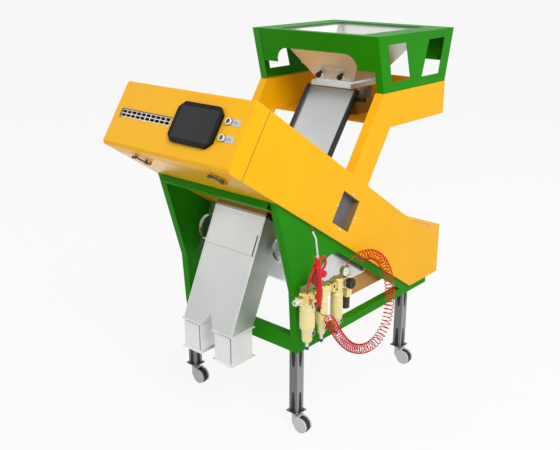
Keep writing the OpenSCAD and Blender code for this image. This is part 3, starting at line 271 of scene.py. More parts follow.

# Feeder and the inside of the head
# Black of black parts, seams and rail ribs, also used as painted shade in the clamp slots.
black_and_shade = surface("drive_black", (34, 35, 36), 0.5, vary=0.15, grain=500.0, bump=0.15)
# Brown that stands for yellow paint in shade: painted shade on the feeder drive.
drive_shade_brown = surface("drive_shade_brown", (150, 112, 44), 0.45, metal=0.3, vary=0.12, grain=300.0, bump=0.12)
rail_black = surface("rail_black", (26, 27, 28), 0.45, metal=0.3, vary=0.15, grain=300.0, bump=0.1)
lamp = surface("lamp_white", (236, 238, 240), 0.3, vary=0.02, bump=0.02)
camera_black = surface("camera_black", (26, 26, 28), 0.4, vary=0.15, grain=700.0, bump=0.1)
valve = surface("valve_aluminium", (176, 180, 184), 0.36, metal=0.7, vary=0.06, grain=120.0, bump=0.06)
filter_grey = surface("filter_grey", (122, 123, 124), 0.75, spec=0.2, vary=0.1, cloud=14.0, grain=700.0,
                      bump=0.2, edge=0)
# Tan that stands for the yellow walls of the filter windows in shade: painted shade.
wall_shade_brown = surface("window_wall_shade", (150, 122, 82), 0.5, spec=0.2, vary=0.1, cloud=10.0, bump=0.06, edge=0)

# Air unit, blow gun and hose
champagne = surface("air_brass", (244, 226, 164), 0.2, metal=0.75, vary=0.05, cloud=9.0, grain=100.0,
                    bump=0.01, edge=0)
bowl_cream = surface("bowl_cream", (240, 226, 162), 0.34, metal=0.1, spec=0.45, vary=0.03, cloud=9.0,
                     grain=60.0, spread_rough=0.02, bump=0.0, edge=0)
blue = surface("tip_blue", (14, 74, 132), 0.4, coat=0.2, vary=0.1, bump=0.05)
bracket = surface("bracket_steel", (206, 204, 184), 0.36, metal=0.5, vary=0.05, bump=0.06)
fitting = surface("fitting_steel", (214, 214, 210), 0.26, metal=0.85, vary=0.05, grain=200.0, bump=0.05)
nut_white = surface("inlet_white", (232, 232, 228), 0.4, vary=0.04, bump=0.05)
dial = surface("dial_white", (240, 240, 236), 0.35, vary=0.02, bump=0.02, edge=0)
dial_ink = surface("dial_ink", (30, 30, 30), 0.5, vary=0.1, bump=0.02, edge=0)
needle_red = surface("needle_red", (190, 30, 30), 0.4, vary=0.1, bump=0.02, edge=0)
gun_red = surface("gun_red", (216, 16, 22), 0.38, coat=0.08, spec=0.3, vary=0.07, grain=600.0, bump=0.05,
                  edge=0.0012)
gun_dark = surface("gun_dark_red", (152, 22, 24), 0.42, spec=0.2, vary=0.1, grain=600.0, bump=0.05)
tip_brown = surface("tip_brown", (120, 44, 34), 0.4, vary=0.1, bump=0.04)
chrome = surface("nozzle_chrome", (220, 222, 224), 0.14, metal=0.95, vary=0.04, bump=0.02, edge=0)
hose_red = surface("hose_red", (206, 18, 14), 0.4, spec=0.2, vary=0.08, cloud=20.0, bump=0.03, edge=0)


# Second colours of three finishes: painted shade between the cells of the filter mats, painted shade on the
# side faces of the underside and painted light on the side faces of the legs
def weave(tree):
    """Relief of fine cells, and the share of shade between them."""
    place = add(tree, "ShaderNodeTexCoord").outputs["Object"]
    cells = add(tree, "ShaderNodeTexVoronoi", {"Vector": place, "Scale": 260.0}).outputs["Distance"]
    relief = add(tree, "ShaderNodeBump", {"Height": cells, "Strength": 0.4, "Distance": 0.001})
    tree.links.new(relief.outputs["Normal"], tree.nodes["Principled BSDF"].inputs["Normal"])
    return spread(tree, cells, 0.0, 0.55, 0.25, 0.7)


def sideways(tree):
    """Share of a face that looks to the left or the right."""
    normal = add(tree, "ShaderNodeTexCoord").outputs["Normal"]
    across = add(tree, "ShaderNodeSeparateXYZ", {"Vector": normal}).outputs["X"]
    return add(tree, "ShaderNodeMath", {0: across}, operation="ABSOLUTE").outputs[0]


repaint(filter_grey, weave, (84, 85, 86))
# Painted shade: faces of the underside that look left or right turn brown.
repaint(yellow_gloss, sideways, (196, 136, 28))
# Painted light: faces of the legs that look left or right turn lighter grey.
repaint(alu, sideways, (146, 148, 149))

# Finish of each solid that is carried over from CAD
for finish, names in (
    (green, ("base_frame", "base_panel_left", "base_panel_right", "hopper_shell")),
    (alu, ("legs",)),
    (dark_steel, ("foot_plates", "latch_left", "latch_right")),
    (hood, ["castor_fork_" + corner for corner in CORNERS]),
    (yellow, ("side_panel_left", "side_panel_right", "arm_box_left", "arm_box_right", "top_cover",
              "rear_cover", "front_cover", "feeder_deck")),
    (yellow_gloss, ("bottom_cover",)),
    (screen_black, ("screen_bezel",)),
    (glass, ("screen_glass",)),
    (vent, ("vent_grille",)),
    (legend, ("legend_plates",)),
    (filter_grey, ("filter_mats",)),
    (clip, ("window_clips",)),
    (camera_black, ("cameras",)),
    (lamp, ("lamp_bars",)),
    (valve, ("ejector_bar",)),
    (funnel_steel, ("hopper_funnel", "feed_gate")),
    (bright_steel, ("feeder_tray", "outlet_boxes")),
    (steel, ("feeder_springs", "outlet_chute")),
    (drive_shade_brown, ("feeder_drive",)),
    (chute_steel, ("feed_chute",)),
    (rail_black, ("chute_rails",)),
    (polished, ("collector_box",)),
    (bracket, ("air_bracket",)),
    (champagne, ("air_manifold",)),
    (fitting, ("air_fittings",)),
):
    for name in names:
        nodes[name].data.materials.clear()
        nodes[name].data.materials.append(finish)


# Mesh building
def square_to(axis):
    """Two directions square to an axis and to each other."""
    axis = axis.normalized()
    side = X if abs(axis.x) < 0.9 else Y
    u = (side - axis * axis.dot(side)).normalized()
    return u, axis.cross(u)


class Shape:
    """Collects the faces of one piece."""

    def __init__(self):
        self.bm = bmesh.new()

    def skin(self, rings, mat):
        """Joins rings of corners, one to the next, and closes both ends."""
        count = len(rings[0])
        for low, high in zip(rings, rings[1:]):
            for k in range(count):
                after = (k + 1) % count
                corners = list(dict.fromkeys((low[k], low[after], high[after], high[k])))
                if len(corners) > 2:
                    self.bm.faces.new(corners).material_index = mat
        for ring in (rings[0][::-1], rings[-1]):
            if len(set(ring)) > 2:
                self.bm.faces.new(ring).material_index = mat
        return self

    def revolve(self, profile, origin, axis, segs=40, mat=0, lobes=0, depth=0.0):
        """Turns (radius, height) pairs in mm round an axis; lobes flute the radius by depth."""
        u, v = square_to(axis)
        axis = axis.normalized()
        rings = []
        for radius, height in profile:
            centre = origin + axis * height * MM
            if radius <= 1e-6:
                rings.append([self.bm.verts.new(centre)] * segs)
                continue
            ring = []
            for k in range(segs):
                a = 2 * math.pi * k / segs
                flute = depth * (0.5 + 0.5 * math.cos(lobes * a)) if lobes else 0
                ring.append(self.bm.verts.new(
                    centre + (u * math.cos(a) + v * math.sin(a)) * (radius - flute) * MM))
            rings.append(ring)
        return self.skin(rings, mat)

    def tube(self, points, radius, sides=12, mat=0, flat=1.0, up=None):
        """Sweeps a round or flattened section along points; radius is one value or one per point, in mm."""
        last = len(points) - 1
        radii = radius if isinstance(radius, (list, tuple)) else [radius] * len(points)
        rings, u = [], None
        for i, point in enumerate(points):
            d = (points[min(i + 1, last)] - points[max(i - 1, 0)]).normalized()
            if up is None and u is None:
                u = square_to(d)[0]
            else:
                lead = u if up is None else up
                u = (lead - d * d.dot(lead)).normalized()
            v = d.cross(u)
            ring = []
            for k in range(sides):
                a = 2 * math.pi * k / sides
                ring.append(self.bm.verts.new(
                    point + (u * math.cos(a) * flat + v * math.sin(a)) * radii[i] * MM))
            rings.append(ring)
        return self.skin(rings, mat)

    def prism(self, outline, origin, u, v, depth, mat=0):
        """Extrudes an outline, in mm along u and v, by depth along u x v."""
        w = u.cross(v).normalized()
        low = [self.bm.verts.new(origin + (u * a + v * b) * MM) for a, b in outline]
        high = [self.bm.verts.new(corner.co + w * depth * MM) for corner in low]
        return self.skin([low, high], mat)

    def slab(self, left, right, low, high, origin, u, v, depth, mat=0):
        """A prism on a rectangle from left to right along u and from low to high along v."""
        return self.prism([(left, low), (right, low), (right, high), (left, high)], origin, u, v, depth, mat)

    def block(self, centre, size, u=X, v=Y, mat=0):
        """A box of a size in mm about its centre, on two directions."""
        a, b, c = (side / 2 for side in size)
        return self.slab(-a, a, -b, b, centre - u.cross(v) * c * MM, u, v, 2 * c, mat)

    def screw(self, place, axis, radius, height):
        """Hexagon head on a washer."""
        washer = radius * 1.5
        self.revolve([(0, 0), (washer, 0), (washer, 1.0), (0, 1.0)], place, axis, 24)
        head = [(0, 0.8), (radius, 0.8), (radius, height - 0.8), (radius * 0.86, height), (0, height)]
        return self.revolve(head, place, axis, 6)


def piece(name, shape, mats, body="machine", replaces=(), bevel=0.0, segs=2, angle=35):
    """Makes an object of a shape, with its materials, that rides on a body."""
    mesh = bpy.data.meshes.new(name)
    bmesh.ops.recalc_face_normals(shape.bm, faces=shape.bm.faces[:])
    shape.bm.to_mesh(mesh)
    shape.bm.free()
    for mat in mats if isinstance(mats, (list, tuple)) else [mats]:
        mesh.materials.append(mat)
    mesh.polygons.foreach_set("use_smooth", [True] * len(mesh.polygons))
    mesh.set_sharp_from_angle(angle=math.radians(angle))
    obj = bpy.data.objects.new(name, mesh)
    scene.collection.objects.link(obj)
    if bevel:
        rounded = obj.modifiers.new("rounded", "BEVEL")
        rounded.width = bevel * MM
        rounded.segments = segs
        rounded.limit_method = "ANGLE"
        rounded.angle_limit = math.radians(40)
        rounded.harden_normals = True
    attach(obj, body)
    if replaces:
        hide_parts(*replaces)


def smooth_line(points, steps):
    """Catmull-Rom line through points."""
    pts = [points[0] * 2 - points[1]] + points + [points[-1] * 2 - points[-2]]
    line = []
    for a, b, c, d in zip(pts, pts[1:], pts[2:], pts[3:]):
        for k in range(steps):
            t = k / steps
            line.append(0.5 * (2 * b + (c - a) * t + (2 * a - 5 * b + 4 * c - d) * t * t
                               + (3 * b - a - 3 * c + d) * t ** 3))
    return line + [points[-1].copy()]


def walk(line):
    """Running length at each point of a line."""
    run = [0.0]
    for a, b in zip(line, line[1:]):
        run.append(run[-1] + (b - a).length)
    return run


# Coiled hose, from the gun to the swivel on the manifold
HOSE_D = 4.2
COIL_R = 22.4
PITCH = 20.0
TURN_POINTS = 16
ROUTE_STEPS = 24
HOSE_ROUTE = [
    (463, 266, 631), (463, 282, 614), (463, 312, 590), (461, 348, 556), (457, 385, 508), (450, 432, 448),
    (442, 492, 386), (436, 558, 335), (433, 634, 298), (432, 706, 286), (432, 774, 301), (432, 826, 348),
    (432, 850, 418), (431, 858, 488), (430, 850, 560), (428, 824, 634), (427, 778, 699), (427, 708, 749),
    (424, 640, 764), (420, 592, 766), (417.5, 564, 770), (416.5, 542, 769), (416.2, 526.5, 762.5),
    (416, 520, 748),
]
# Straight ends of the strand, the run over which its coil opens, steps and last gap, in metres
STRAIGHT = 0.03
OPENING = 0.08
STRAIGHT_STEP = 0.004
LAST_GAP = 0.003
# Bend that the turns keep to while the coil opens
OPEN_R = 22.0


def coil_points():
    """Points of the strand, coiled round its route."""
    line = smooth_line([at(*p) for p in HOSE_ROUTE], ROUTE_STEPS)
    run = walk(line)
    strand, leg, done, turn, u = [], 0, 0.0, 0.0, None
    while done < run[-1]:
        while leg < len(run) - 2 and run[leg + 1] < done:
            leg += 1
        share = (done - run[leg]) / (run[leg + 1] - run[leg])
        centre = line[leg].lerp(line[leg + 1], share)
        d = (line[leg + 1] - line[leg]).normalized()
        u = square_to(d)[0] if u is None else (u - d * d.dot(u)).normalized()
        from_end = min(done, run[-1] - done) - STRAIGHT
        grow = min(max(from_end / OPENING, 0.0), 1.0)
        radius = COIL_R * grow * grow * (3 - 2 * grow)
        pitch = max(PITCH, 2 * math.pi * math.sqrt(max(0.0, radius * (OPEN_R - radius))))
        a = 2 * math.pi * turn
        strand.append(centre + (u * math.cos(a) + d.cross(u) * math.sin(a)) * MM * radius)
        if radius > 0:
            turn += PITCH / pitch / TURN_POINTS
            done += PITCH * MM / TURN_POINTS
        else:
            done += STRAIGHT_STEP
    while (strand[-1] - line[-1]).length < LAST_GAP:
        strand.pop()
    return strand + [line[-1].copy()]


coil = coil_points()
hose_curve = bpy.data.curves.new("air_hose", "CURVE")
hose_curve.dimensions = "3D"
strand = hose_curve.splines.new("POLY")
strand.points.add(len(coil) - 1)
for spot, place in zip(strand.points, coil):
    spot.co = (*place, 1)
hose_curve.bevel_depth = HOSE_D * MM / 2
hose_curve.bevel_resolution = 3
hose_curve.use_fill_caps = True
hose_curve.materials.append(hose_red)
hose = bpy.data.objects.new("air_hose", hose_curve)
scene.collection.objects.link(hose)
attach(hose, "machine")
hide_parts("spiral_hose")

# Castor wheels: rubber tyre on a grey hub, as shares of the wheel's radius and half width
TYRE = ((0.78, 0.96), (0.9, 1.0), (0.955, 0.86), (0.985, 0.55), (1.0, 0.2))
TYRE_SEAT = (0.77, 0.5)
HUB_DISH = ((0.6, 0.5), (0.68, 0.84), (0.775, 0.9))
# Boss of the hub: radius in mm and share of the half width
HUB_BOSS = ((5.1, 0.98), (10, 0.98), (11, 0.8), (13, 0.55))


def closed_profile(half, inner=()):
    """Closes half a profile: its mirror image, the half itself and back by the inner side."""
    there = [(r, -h) for r, h in half]
    return there + list(half[::-1]) + list(inner) + [(r, -h) for r, h in inner[::-1]] + there[:1]


for corner in CORNERS:
    low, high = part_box("castor_wheel_" + corner)
    size = (high - low) / MM
    axle = Y if size.y < size.x else X
    r = size.z / 2
    w = min(size.x, size.y) / 2
    mid = (low + high) / 2
    seat = ((r * TYRE_SEAT[0], w * TYRE_SEAT[1]),)
    tyre = Shape()
    tyre.revolve(closed_profile([(r * a, w * b) for a, b in TYRE], seat), mid, axle, 64)
    piece("tyre_" + corner, tyre, rubber, "wheel_" + corner, ["castor_wheel_" + corner])
    side = [(radius, w * b) for radius, b in HUB_BOSS] + [(r * a, w * b) for a, b in HUB_DISH]
    hub = Shape()
    hub.revolve(closed_profile(side), mid, axle, 64)
    piece("hub_" + corner, hub, hood, "wheel_" + corner)

# Push-buttons: domed caps in white rings on black collars
BUTTON_X = 279
BUTTON_DOWN = {"stop": 101, "start": 168}
collars = Shape()
for down in BUTTON_DOWN.values():
    base = on_front(BUTTON_X, down, 0)
    collars.revolve([(10.6, -30), (11, -30), (11, 0.2), (15.6, 0.2), (15.6, 2.6), (14.6, 3.2), (10.6, 3.2),
                     (10.6, -30)], base, FRONT_OUT, 48, 0)
    collars.revolve([(9.6, 1.5), (13.8, 3.0), (13.8, 9.4), (13.0, 10.4), (10.2, 10.4), (9.6, 9.4),
                     (9.6, 1.5)], base, FRONT_OUT, 48, 1)
piece("button_collars", collars, [black, ring_white], "front_cover", ["button_rings"])
for name, mat, slot in (("stop", stop_red, "stop_red"), ("start", start_green, "start_green")):
    cap = Shape()
    cap.revolve([(0, -18), (9, -18), (9, 8.4), (8.7, 9.6), (7.6, 10.5), (5, 11.2), (0, 11.5)],
                on_front(BUTTON_X, BUTTON_DOWN[name], 0), FRONT_OUT, 40)
    piece(name + "_cap", cap, mat, name + "_button", [name + "_button"])

# Hairlines on the legend plates instead of words
LEGEND_X = 314
LEGEND_FACE = 1.62
marks = Shape()
for down in BUTTON_DOWN.values():
    for step, half_w in ((-4, 9), (0, 14), (4, 11)):
        marks.block(on_front(LEGEND_X, down + step, LEGEND_FACE), (2 * half_w, 1.6, 0.3), X, FRONT_DOWN)
piece("legend_marks", marks, legend_ink_and_shade, "front_cover", bevel=0.1)

# Air unit: bowls with cups and ribs, drain stems and sight glasses
AIR_X, AIR_Z = 412.0, 686.0
UNIT_Y = (252.0, 350.0, 456.0)
BOWL_R = (34.0, 26.0, 28.0)
BOWL_LOW = (542.0, 528.0, 522.0)
BOWL_TOP = 642
SIGHT_Z = (528.0, 516.0, 511.0)
SIGHT_OUT = (X * 0.98 + Y * 0.12).normalized()
CUP_SHARE = 0.76
CUP_LOW = 482
RIBS = 8
bowls, drains = Shape(), Shape()
for y, r, low, sight in zip(UNIT_Y, BOWL_R, BOWL_LOW, SIGHT_Z):
    foot = at(AIR_X, y, 0)
    c = r * CUP_SHARE
    bowls.revolve([(0, BOWL_TOP), (r * 0.92, BOWL_TOP), (r * 0.98, BOWL_TOP - 2), (r, BOWL_TOP - 6),
                   (r, BOWL_TOP - 16), (r * 0.965, BOWL_TOP - 19), (r * 0.965, BOWL_TOP - 26),
                   (r * 0.99, BOWL_TOP - 29), (r * 0.985, low + 12), (r * 0.95, low + 4), (c, low),
                   (c, low - 5), (c * 0.96, low - 8), (c * 0.86, CUP_LOW + 8), (c * 0.8, CUP_LOW + 2),
                   (c * 0.5, CUP_LOW), (0, CUP_LOW)], foot, Z, 56)
    for k in range(RIBS):
        a = 2 * math.pi * (k + 0.5) / RIBS
        wall = foot + (X * math.cos(a) + Y * math.sin(a)) * r * 0.98 * MM
        heights = (low + 18, low + 22, BOWL_TOP - 42, BOWL_TOP - 36)
        bowls.tube([wall + Z * z * MM for z in heights], [0.4, 1.5, 1.5, 0.4], 8)
    drains.revolve([(0, 483), (11, 483), (11, 477), (8.6, 474), (7.6, 472), (7.6, 456), (0, 456)],
                   foot, Z, 28, 0)
    drains.revolve([(0, 457), (8.4, 457), (9.6, 455), (9.6, 447), (8.2, 442), (0, 442)], foot, Z, 28, 1)
    eye = foot + Z * sight * MM
    drains.revolve([(0, c * 0.6), (11, c * 0.6), (11, c + 5), (10.2, c + 6), (0, c + 6)],
                   eye, SIGHT_OUT, 32, 2)
    drains.revolve([(10.8, c - 2), (12.8, c - 2), (13, c + 4.5), (12.4, c + 6.2), (11.2, c + 6.2),
                    (10.8, c + 5)], eye, SIGHT_OUT, 40, 3)
piece("filter_bowl_shells", bowls, bowl_cream, "machine", ["filter_bowls"])
piece("filter_drains", drains, [nut_white, blue, black, ring_white], "machine")

# Manifold: bar, heads with caps, and the rest for the gun
BAR_Y, BAR_LEN = 364, 348
manifold = Shape()
manifold.block(at(AIR_X, BAR_Y, AIR_Z), (32, BAR_LEN, 32))
for y, r in zip(UNIT_Y, BOWL_R):
    manifold.block(at(AIR_X + 1.5, y, AIR_Z), (51, 54, 44))
    neck = r * 0.9
    manifold.revolve([(0, BOWL_TOP - 1), (neck, BOWL_TOP - 1), (neck, BOWL_TOP + 10), (25, 664), (25, 690),
                      (0, 690)], at(AIR_X, y, 0), Z, 48)
    manifold.revolve([(0, 0), (23, 0), (23, 3), (21, 5), (0, 5)], at(AIR_X, y, AIR_Z + 22), Z, 48)
manifold.block(at(445, 255, AIR_Z + 12), (14, 14, 24))
piece("manifold_heads", manifold, champagne, "machine", ["air_manifold"], bevel=2.5, segs=3)

# Clamps between the heads, with thin dark plates of painted shade for their slots
CLAMP_Y = (301.0, 403.0, 492.0)
clamps = Shape()
for y in CLAMP_Y:
    clamps.block(at(AIR_X + 4, y, AIR_Z + 2), (44, 16, 42), mat=0)
    clamps.block(at(AIR_X + 26.3, y, AIR_Z + 8), (1.0, 9, 16), mat=1)
    clamps.block(at(AIR_X + 4, y, AIR_Z + 23.2), (26, 6, 1.0), mat=1)
piece("manifold_clamps", clamps, [champagne, black_and_shade], "machine", bevel=0.8)

# Fittings: inlet nut, regulator plug, hose swivel and the knob's stem
PLUG_Y = 522
SWIVEL = at(416, 520, 702)
STEM_Y, STEM_Z = 510, AIR_Z - 10
fits = Shape()
fits.revolve([(7.5, 20), (7.5, 0), (12.4, 0), (14, 1.6), (14, 22), (12.4, 24), (7.5, 24), (7.5, 20)],
             at(AIR_X, 166, AIR_Z), Y, 6, 1)
fits.revolve([(0, 0), (12, 0), (12, 32), (0, 32)], at(AIR_X, PLUG_Y, 670), -Z, 40, 3)
fits.block(at(AIR_X + 3, PLUG_Y, 622), (34, 36, 36), mat=3)
fits.revolve([(0, 0), (13, 0), (13, 6), (18.2, 7), (19, 9), (19, 54), (17.4, 58), (0, 58)],
             at(AIR_X, PLUG_Y, 604), -Z, 40, 2)
fits.revolve([(0, 0), (9, 0), (9, 12), (7, 13.5), (7, 20), (0, 20)], SWIVEL, Z, 6, 0)
fits.revolve([(0, 18), (6, 18), (8.4, 20), (8.4, 40), (7.4, 46), (3.2, 46), (3.2, 40), (0, 40)],
             SWIVEL, Z, 28, 2, 14, 0.6)
fits.revolve([(0, 0), (3, 0), (3, 12), (0, 12)], at(428, STEM_Y, STEM_Z), X, 20, 0)
piece("air_fittings_detail", fits, [fitting, nut_white, black_and_shade, champagne], "machine",
      ["air_fittings"])

# Pressure gauge: chrome case, white dial with ticks, needle and stem
GAUGE_Y, GAUGE_Z = 488.5, 736.0
TICKS = 11
FIRST_TICK, TICK_STEP = 225, 27
NEEDLE_AT = 80
face = at(437, GAUGE_Y, GAUGE_Z)
gauge = Shape()


def dial_mark(degrees, radius, sink, size, mat):
    """A bar on the dial that points away from its middle."""
    a = math.radians(degrees)
    d = Y * math.cos(a) + Z * math.sin(a)
    gauge.block(face + d * radius * MM - X * sink * MM, size, d, X.cross(d), mat)


gauge.revolve([(0, -24), (17, -24), (20, -22), (21, -18), (21, -2), (20.4, 0), (18.2, 0), (17.6, -3),
               (0, -3)], face, X, 56, 0)
gauge.revolve([(0, -3.2), (17.6, -3.2), (17.6, -2.4), (0, -2.4)], face, X, 56, 1)
for k in range(TICKS):
    dial_mark(FIRST_TICK - TICK_STEP * k, 14.2, 2.3, (3.6 if k % 5 else 4.6, 1.0, 0.4), 2)
dial_mark(NEEDLE_AT, 5, 1.8, (17, 1.1, 0.5), 3)
gauge.revolve([(0, -2.2), (2.2, -2.2), (2.2, -0.8), (0, -0.8)], face, X, 20, 2)
gauge.revolve([(0, 702), (8, 702), (8, 711), (5, 713), (5, 722), (0, 722)], at(AIR_X, GAUGE_Y, 0), Z, 6, 4)
piece("gauge_detail", gauge, [chrome, dial, dial_ink, needle_red, champagne], "machine",
      ["pressure_gauge"])

# Regulator knob: ribbed cap with a ring
knob = Shape()
knob.revolve([(3.1, 0), (16.5, 0), (16.5, 5.5), (22.5, 6.2), (24, 8), (24, 27), (22.6, 30.6), (19, 32),
              (12, 31), (11, 29), (0, 29), (0, 16), (3.1, 16), (3.1, 0)],
             at(428.4, STEM_Y, STEM_Z), X, 96, 0, 24, 1.6)
piece("regulator_cap", knob, black, "regulator_knob", ["regulator_knob"])

# Blow gun: grip, head, hook, knob, trigger plate and hose nut
GUN_X = 463.0
GRIP_STEPS = 6
GRIP_R = 13.0
HEAD_SWELL = 3.0
GRIP_RIB_Z = range(690, 761, 14)
HOOK_Y, HOOK_Z = 282, 845
HOOK_R, HOOK_TALL = 23, 28
HOSE_END_Y = 265.5
PIVOT_Y, PIVOT_Z = 233, 842
TRIGGER_PLATE = [(0, 0), (-14, -20), (-27, -40), (-29, -54), (-18, -70), (0, -88), (14, -92), (10, 0)]


def gun_at(y, z):
    """A point in the gun's middle plane."""
    return at(GUN_X, y, z)


gun = Shape()
spine = smooth_line([gun_at(266, 668), gun_at(267, 700), gun_at(266, 750), gun_at(261, 800),
                     gun_at(254, 845), gun_at(251, 876)], GRIP_STEPS)
bulge = []
for i in range(len(spine)):
    share = i / (len(spine) - 1)
    swell = HEAD_SWELL if 0.62 < share < 0.9 else 0.0
    bulge.append(GRIP_R + 1.6 * math.sin(math.pi * min(1, share * 1.7)) + swell)
gun.tube(spine, bulge, 20, 0, 0.8, X)
gun.revolve([(0, 0), (9, 0), (10.5, 2), (10.5, 12), (12, 14), (12, 18), (0, 18)], gun_at(266, 656), Z, 24, 0)
hook = []
for degrees in range(150, -151, -12):
    a = math.radians(degrees)
    hook.append(gun_at(HOOK_Y + HOOK_R * math.cos(a), HOOK_Z + HOOK_TALL * math.sin(a)))
gun.tube(hook, 5.2, 12, 0)
gun.revolve([(0, -10.5), (13, -10.5), (15, -8.5), (15, 8.5), (13, 10.5), (0, 10.5)],
            gun_at(290, 795), X, 32, 0)
gun.block(gun_at(274, 803), (15, 26, 24), mat=0)
for s in (-1, 1):
    gun.block(at(GUN_X + s * 9, PIVOT_Y + 4, PIVOT_Z), (4, 16, 15), mat=0)
gun.prism(TRIGGER_PLATE, at(GUN_X - 5, 246, 838), Y, Z, 10, 2)
gun.tube([gun_at(248, 866), gun_at(238, 880), gun_at(230, 888)], [5.5, 4.5, 2.5], 12, 0)
for z in GRIP_RIB_Z:
    gun.tube([at(GUN_X - 9, 279, z), at(GUN_X, 280.5, z), at(GUN_X + 9, 279, z)], [0.6, 1.8, 0.6], 8, 0)
gun.revolve([(0, 0), (6.5, 0), (8.6, 2), (8.6, 14), (7, 16), (7, 26), (0, 26)],
            gun_at(HOSE_END_Y, 632), Z, 6, 1)
gun.revolve([(0, -14), (4, -14), (4.6, -12), (4.6, 12), (4, 14), (0, 14)], gun_at(HOSE_END_Y, 645), Y, 16, 1)
piece("gun_shell", gun, [gun_red, black, gun_dark], "machine", ["gun_body"], angle=50)

# Lever of the gun on its pivot
pivot = gun_at(PIVOT_Y, PIVOT_Z)
lever = Shape()
blade = smooth_line([pivot, gun_at(213, 822), gun_at(198, 796), gun_at(190, 768), gun_at(188, 740)], 8)
thick = [2.5 + 0.5 * math.sin(math.pi * i / (len(blade) - 1)) for i in range(len(blade))]
lever.tube(blade, thick, 14, 0, 1.7, X)
lever.revolve([(0, -6.5), (5, -6.5), (5, 6.5), (0, 6.5)], pivot, X, 24, 0)
lever.revolve([(0, -11), (2.4, -11), (2.4, 11), (0, 11)], pivot, X, 16, 1)
lever.tube([at(GUN_X - 4, 188, 739), at(GUN_X, 188.5, 737), at(GUN_X + 4, 188, 739)], [1.2, 2.4, 1.2], 10, 0)
piece("gun_lever_blade", lever, [gun_red, fitting], "gun_lever", ["gun_lever"], angle=50)

# Bent nozzle of the gun with its brown tip
NOZZLE_Y, NOZZLE_Z = 251, 877
NOZZLE_R = 4.2
NECK_LEN = 74
NECK_LEAN, TIP_LEAN = math.radians(10.5), math.radians(31)
neck_up = Vector((0, -math.sin(NECK_LEAN), math.cos(NECK_LEAN)))
tip_up = Vector((0, -math.sin(TIP_LEAN), math.cos(TIP_LEAN)))
neck = gun_at(NOZZLE_Y, NOZZLE_Z + 15)
bend = neck + neck_up * NECK_LEN * MM
nozzle = Shape()
nozzle.revolve([(0, 0), (7, 0), (7, 8), (6, 10), (5.4, 14), (0, 14)], gun_at(NOZZLE_Y, NOZZLE_Z), Z, 6, 0)
pipe = [gun_at(NOZZLE_Y, NOZZLE_Z + 3)]
pipe += [neck + neck_up * length * MM for length in (0, 30, 60, NECK_LEN)]
pipe += [bend + tip_up * length * MM for length in (12, 30, 50)]
nozzle.tube(smooth_line(pipe, 6), NOZZLE_R, 16, 0)
nozzle.revolve([(0, 46), (5, 46), (5, 56), (4.2, 61), (1.6, 62), (0, 60)], bend, tip_up, 20, 1)
piece("gun_nozzle_pipe", nozzle, [chrome, tip_brown], "machine", ["gun_nozzle"])

# Front wall of the funnel, which carries the gate
FUNNEL_FOOT = at(0, 948, 1474)
FUNNEL_RUN, FUNNEL_RISE = 153, 235
FUNNEL_LEAN = math.atan(FUNNEL_RUN / FUNNEL_RISE)
funnel_up = Vector((0, -math.sin(FUNNEL_LEAN), math.cos(FUNNEL_LEAN)))
funnel_out = Vector((0, -math.cos(FUNNEL_LEAN), -math.sin(FUNNEL_LEAN)))


def on_funnel(x, up, out):
    """A point on the front wall of the funnel: across, up its slope and out of it."""
    return FUNNEL_FOOT + X * x * MM + (funnel_up * up + funnel_out * out) * MM


# Gate knobs: fluted caps
KNOB_X, KNOB_UP, KNOB_LEN = 64.0, 45, 34.0
GATE_OUT = 2.8
for side, s in (("left", -1), ("right", 1)):
    cap = Shape()
    cap.revolve([(0, 0), (10, 0), (12.6, 1.6), (13, 3), (13, KNOB_LEN * 0.5), (12, KNOB_LEN * 0.55),
                 (7.8, KNOB_LEN * 0.6), (7.8, KNOB_LEN - 0.2), (3.2, KNOB_LEN - 0.2), (3.2, 3.6), (0, 3.6)],
                on_funnel(s * KNOB_X, KNOB_UP, GATE_OUT + KNOB_LEN), -funnel_out, 60, 0, 12, 1.6)
    piece("gate_knob_cap_" + side, cap, black, "gate_knob_" + side, ["gate_knob_" + side])

# White strip along the top of the gate, shaped as a folded pull lip: a painted highlight of the gate's top
# edge
GATE_TOP = 64
lip = Shape()
lip.prism([(-60, 0), (52, 0), (47, 8), (-55, 8)], on_funnel(0, GATE_TOP, GATE_OUT + 0.1), X,
          (funnel_up + funnel_out * 0.12).normalized(), -1.4)
piece("gate_lip_painted_highlight", lip, ring_white, "feed_gate", bevel=0.3)

# Tight fold that fills out the lower nose of the front cover
NOSE_R, FOLD_R = 45.0, 18.0
ARC_STEPS = 12
fold_line = [(0.0, NOSE_R - HEAD_T)]
for k in range(ARC_STEPS + 1):
    t = math.pi / 2 * k / ARC_STEPS
    fold_line.append((FOLD_R - FOLD_R * math.cos(t), FOLD_R - HEAD_T - FOLD_R * math.sin(t)))
fold_line.append((NOSE_R, -HEAD_T))
for k in range(1, ARC_STEPS):
    t = math.pi / 2 * (1 - k / ARC_STEPS)
    fold_line.append((NOSE_R - (NOSE_R - 1) * math.cos(t), NOSE_R - HEAD_T - (NOSE_R - 1) * math.sin(t)))
fold = Shape()
fold.prism(fold_line, on_front(HALF, 0, 0), HEAD_ALONG, -FRONT_DOWN, -2 * HALF)
piece("nose_fold", fold, yellow_fold, "front_cover")

# Shadow edges above and to the left of the vent grille
VENT_MID, VENT_LEFT = -173.5, -326.2
VENT_TOP, VENT_HALFWAY = 127.8, 146
EDGE_OUT = 4.8
edges = Shape()
edges.block(on_front(VENT_MID, VENT_TOP, EDGE_OUT / 2), (306, 2.6, EDGE_OUT), X, FRONT_DOWN)
edges.block(on_front(VENT_LEFT, VENT_HALFWAY, EDGE_OUT / 2), (2.4, 38, EDGE_OUT), X, FRONT_DOWN)
piece("vent_edges", edges, black_and_shade, "front_cover", bevel=0.3)

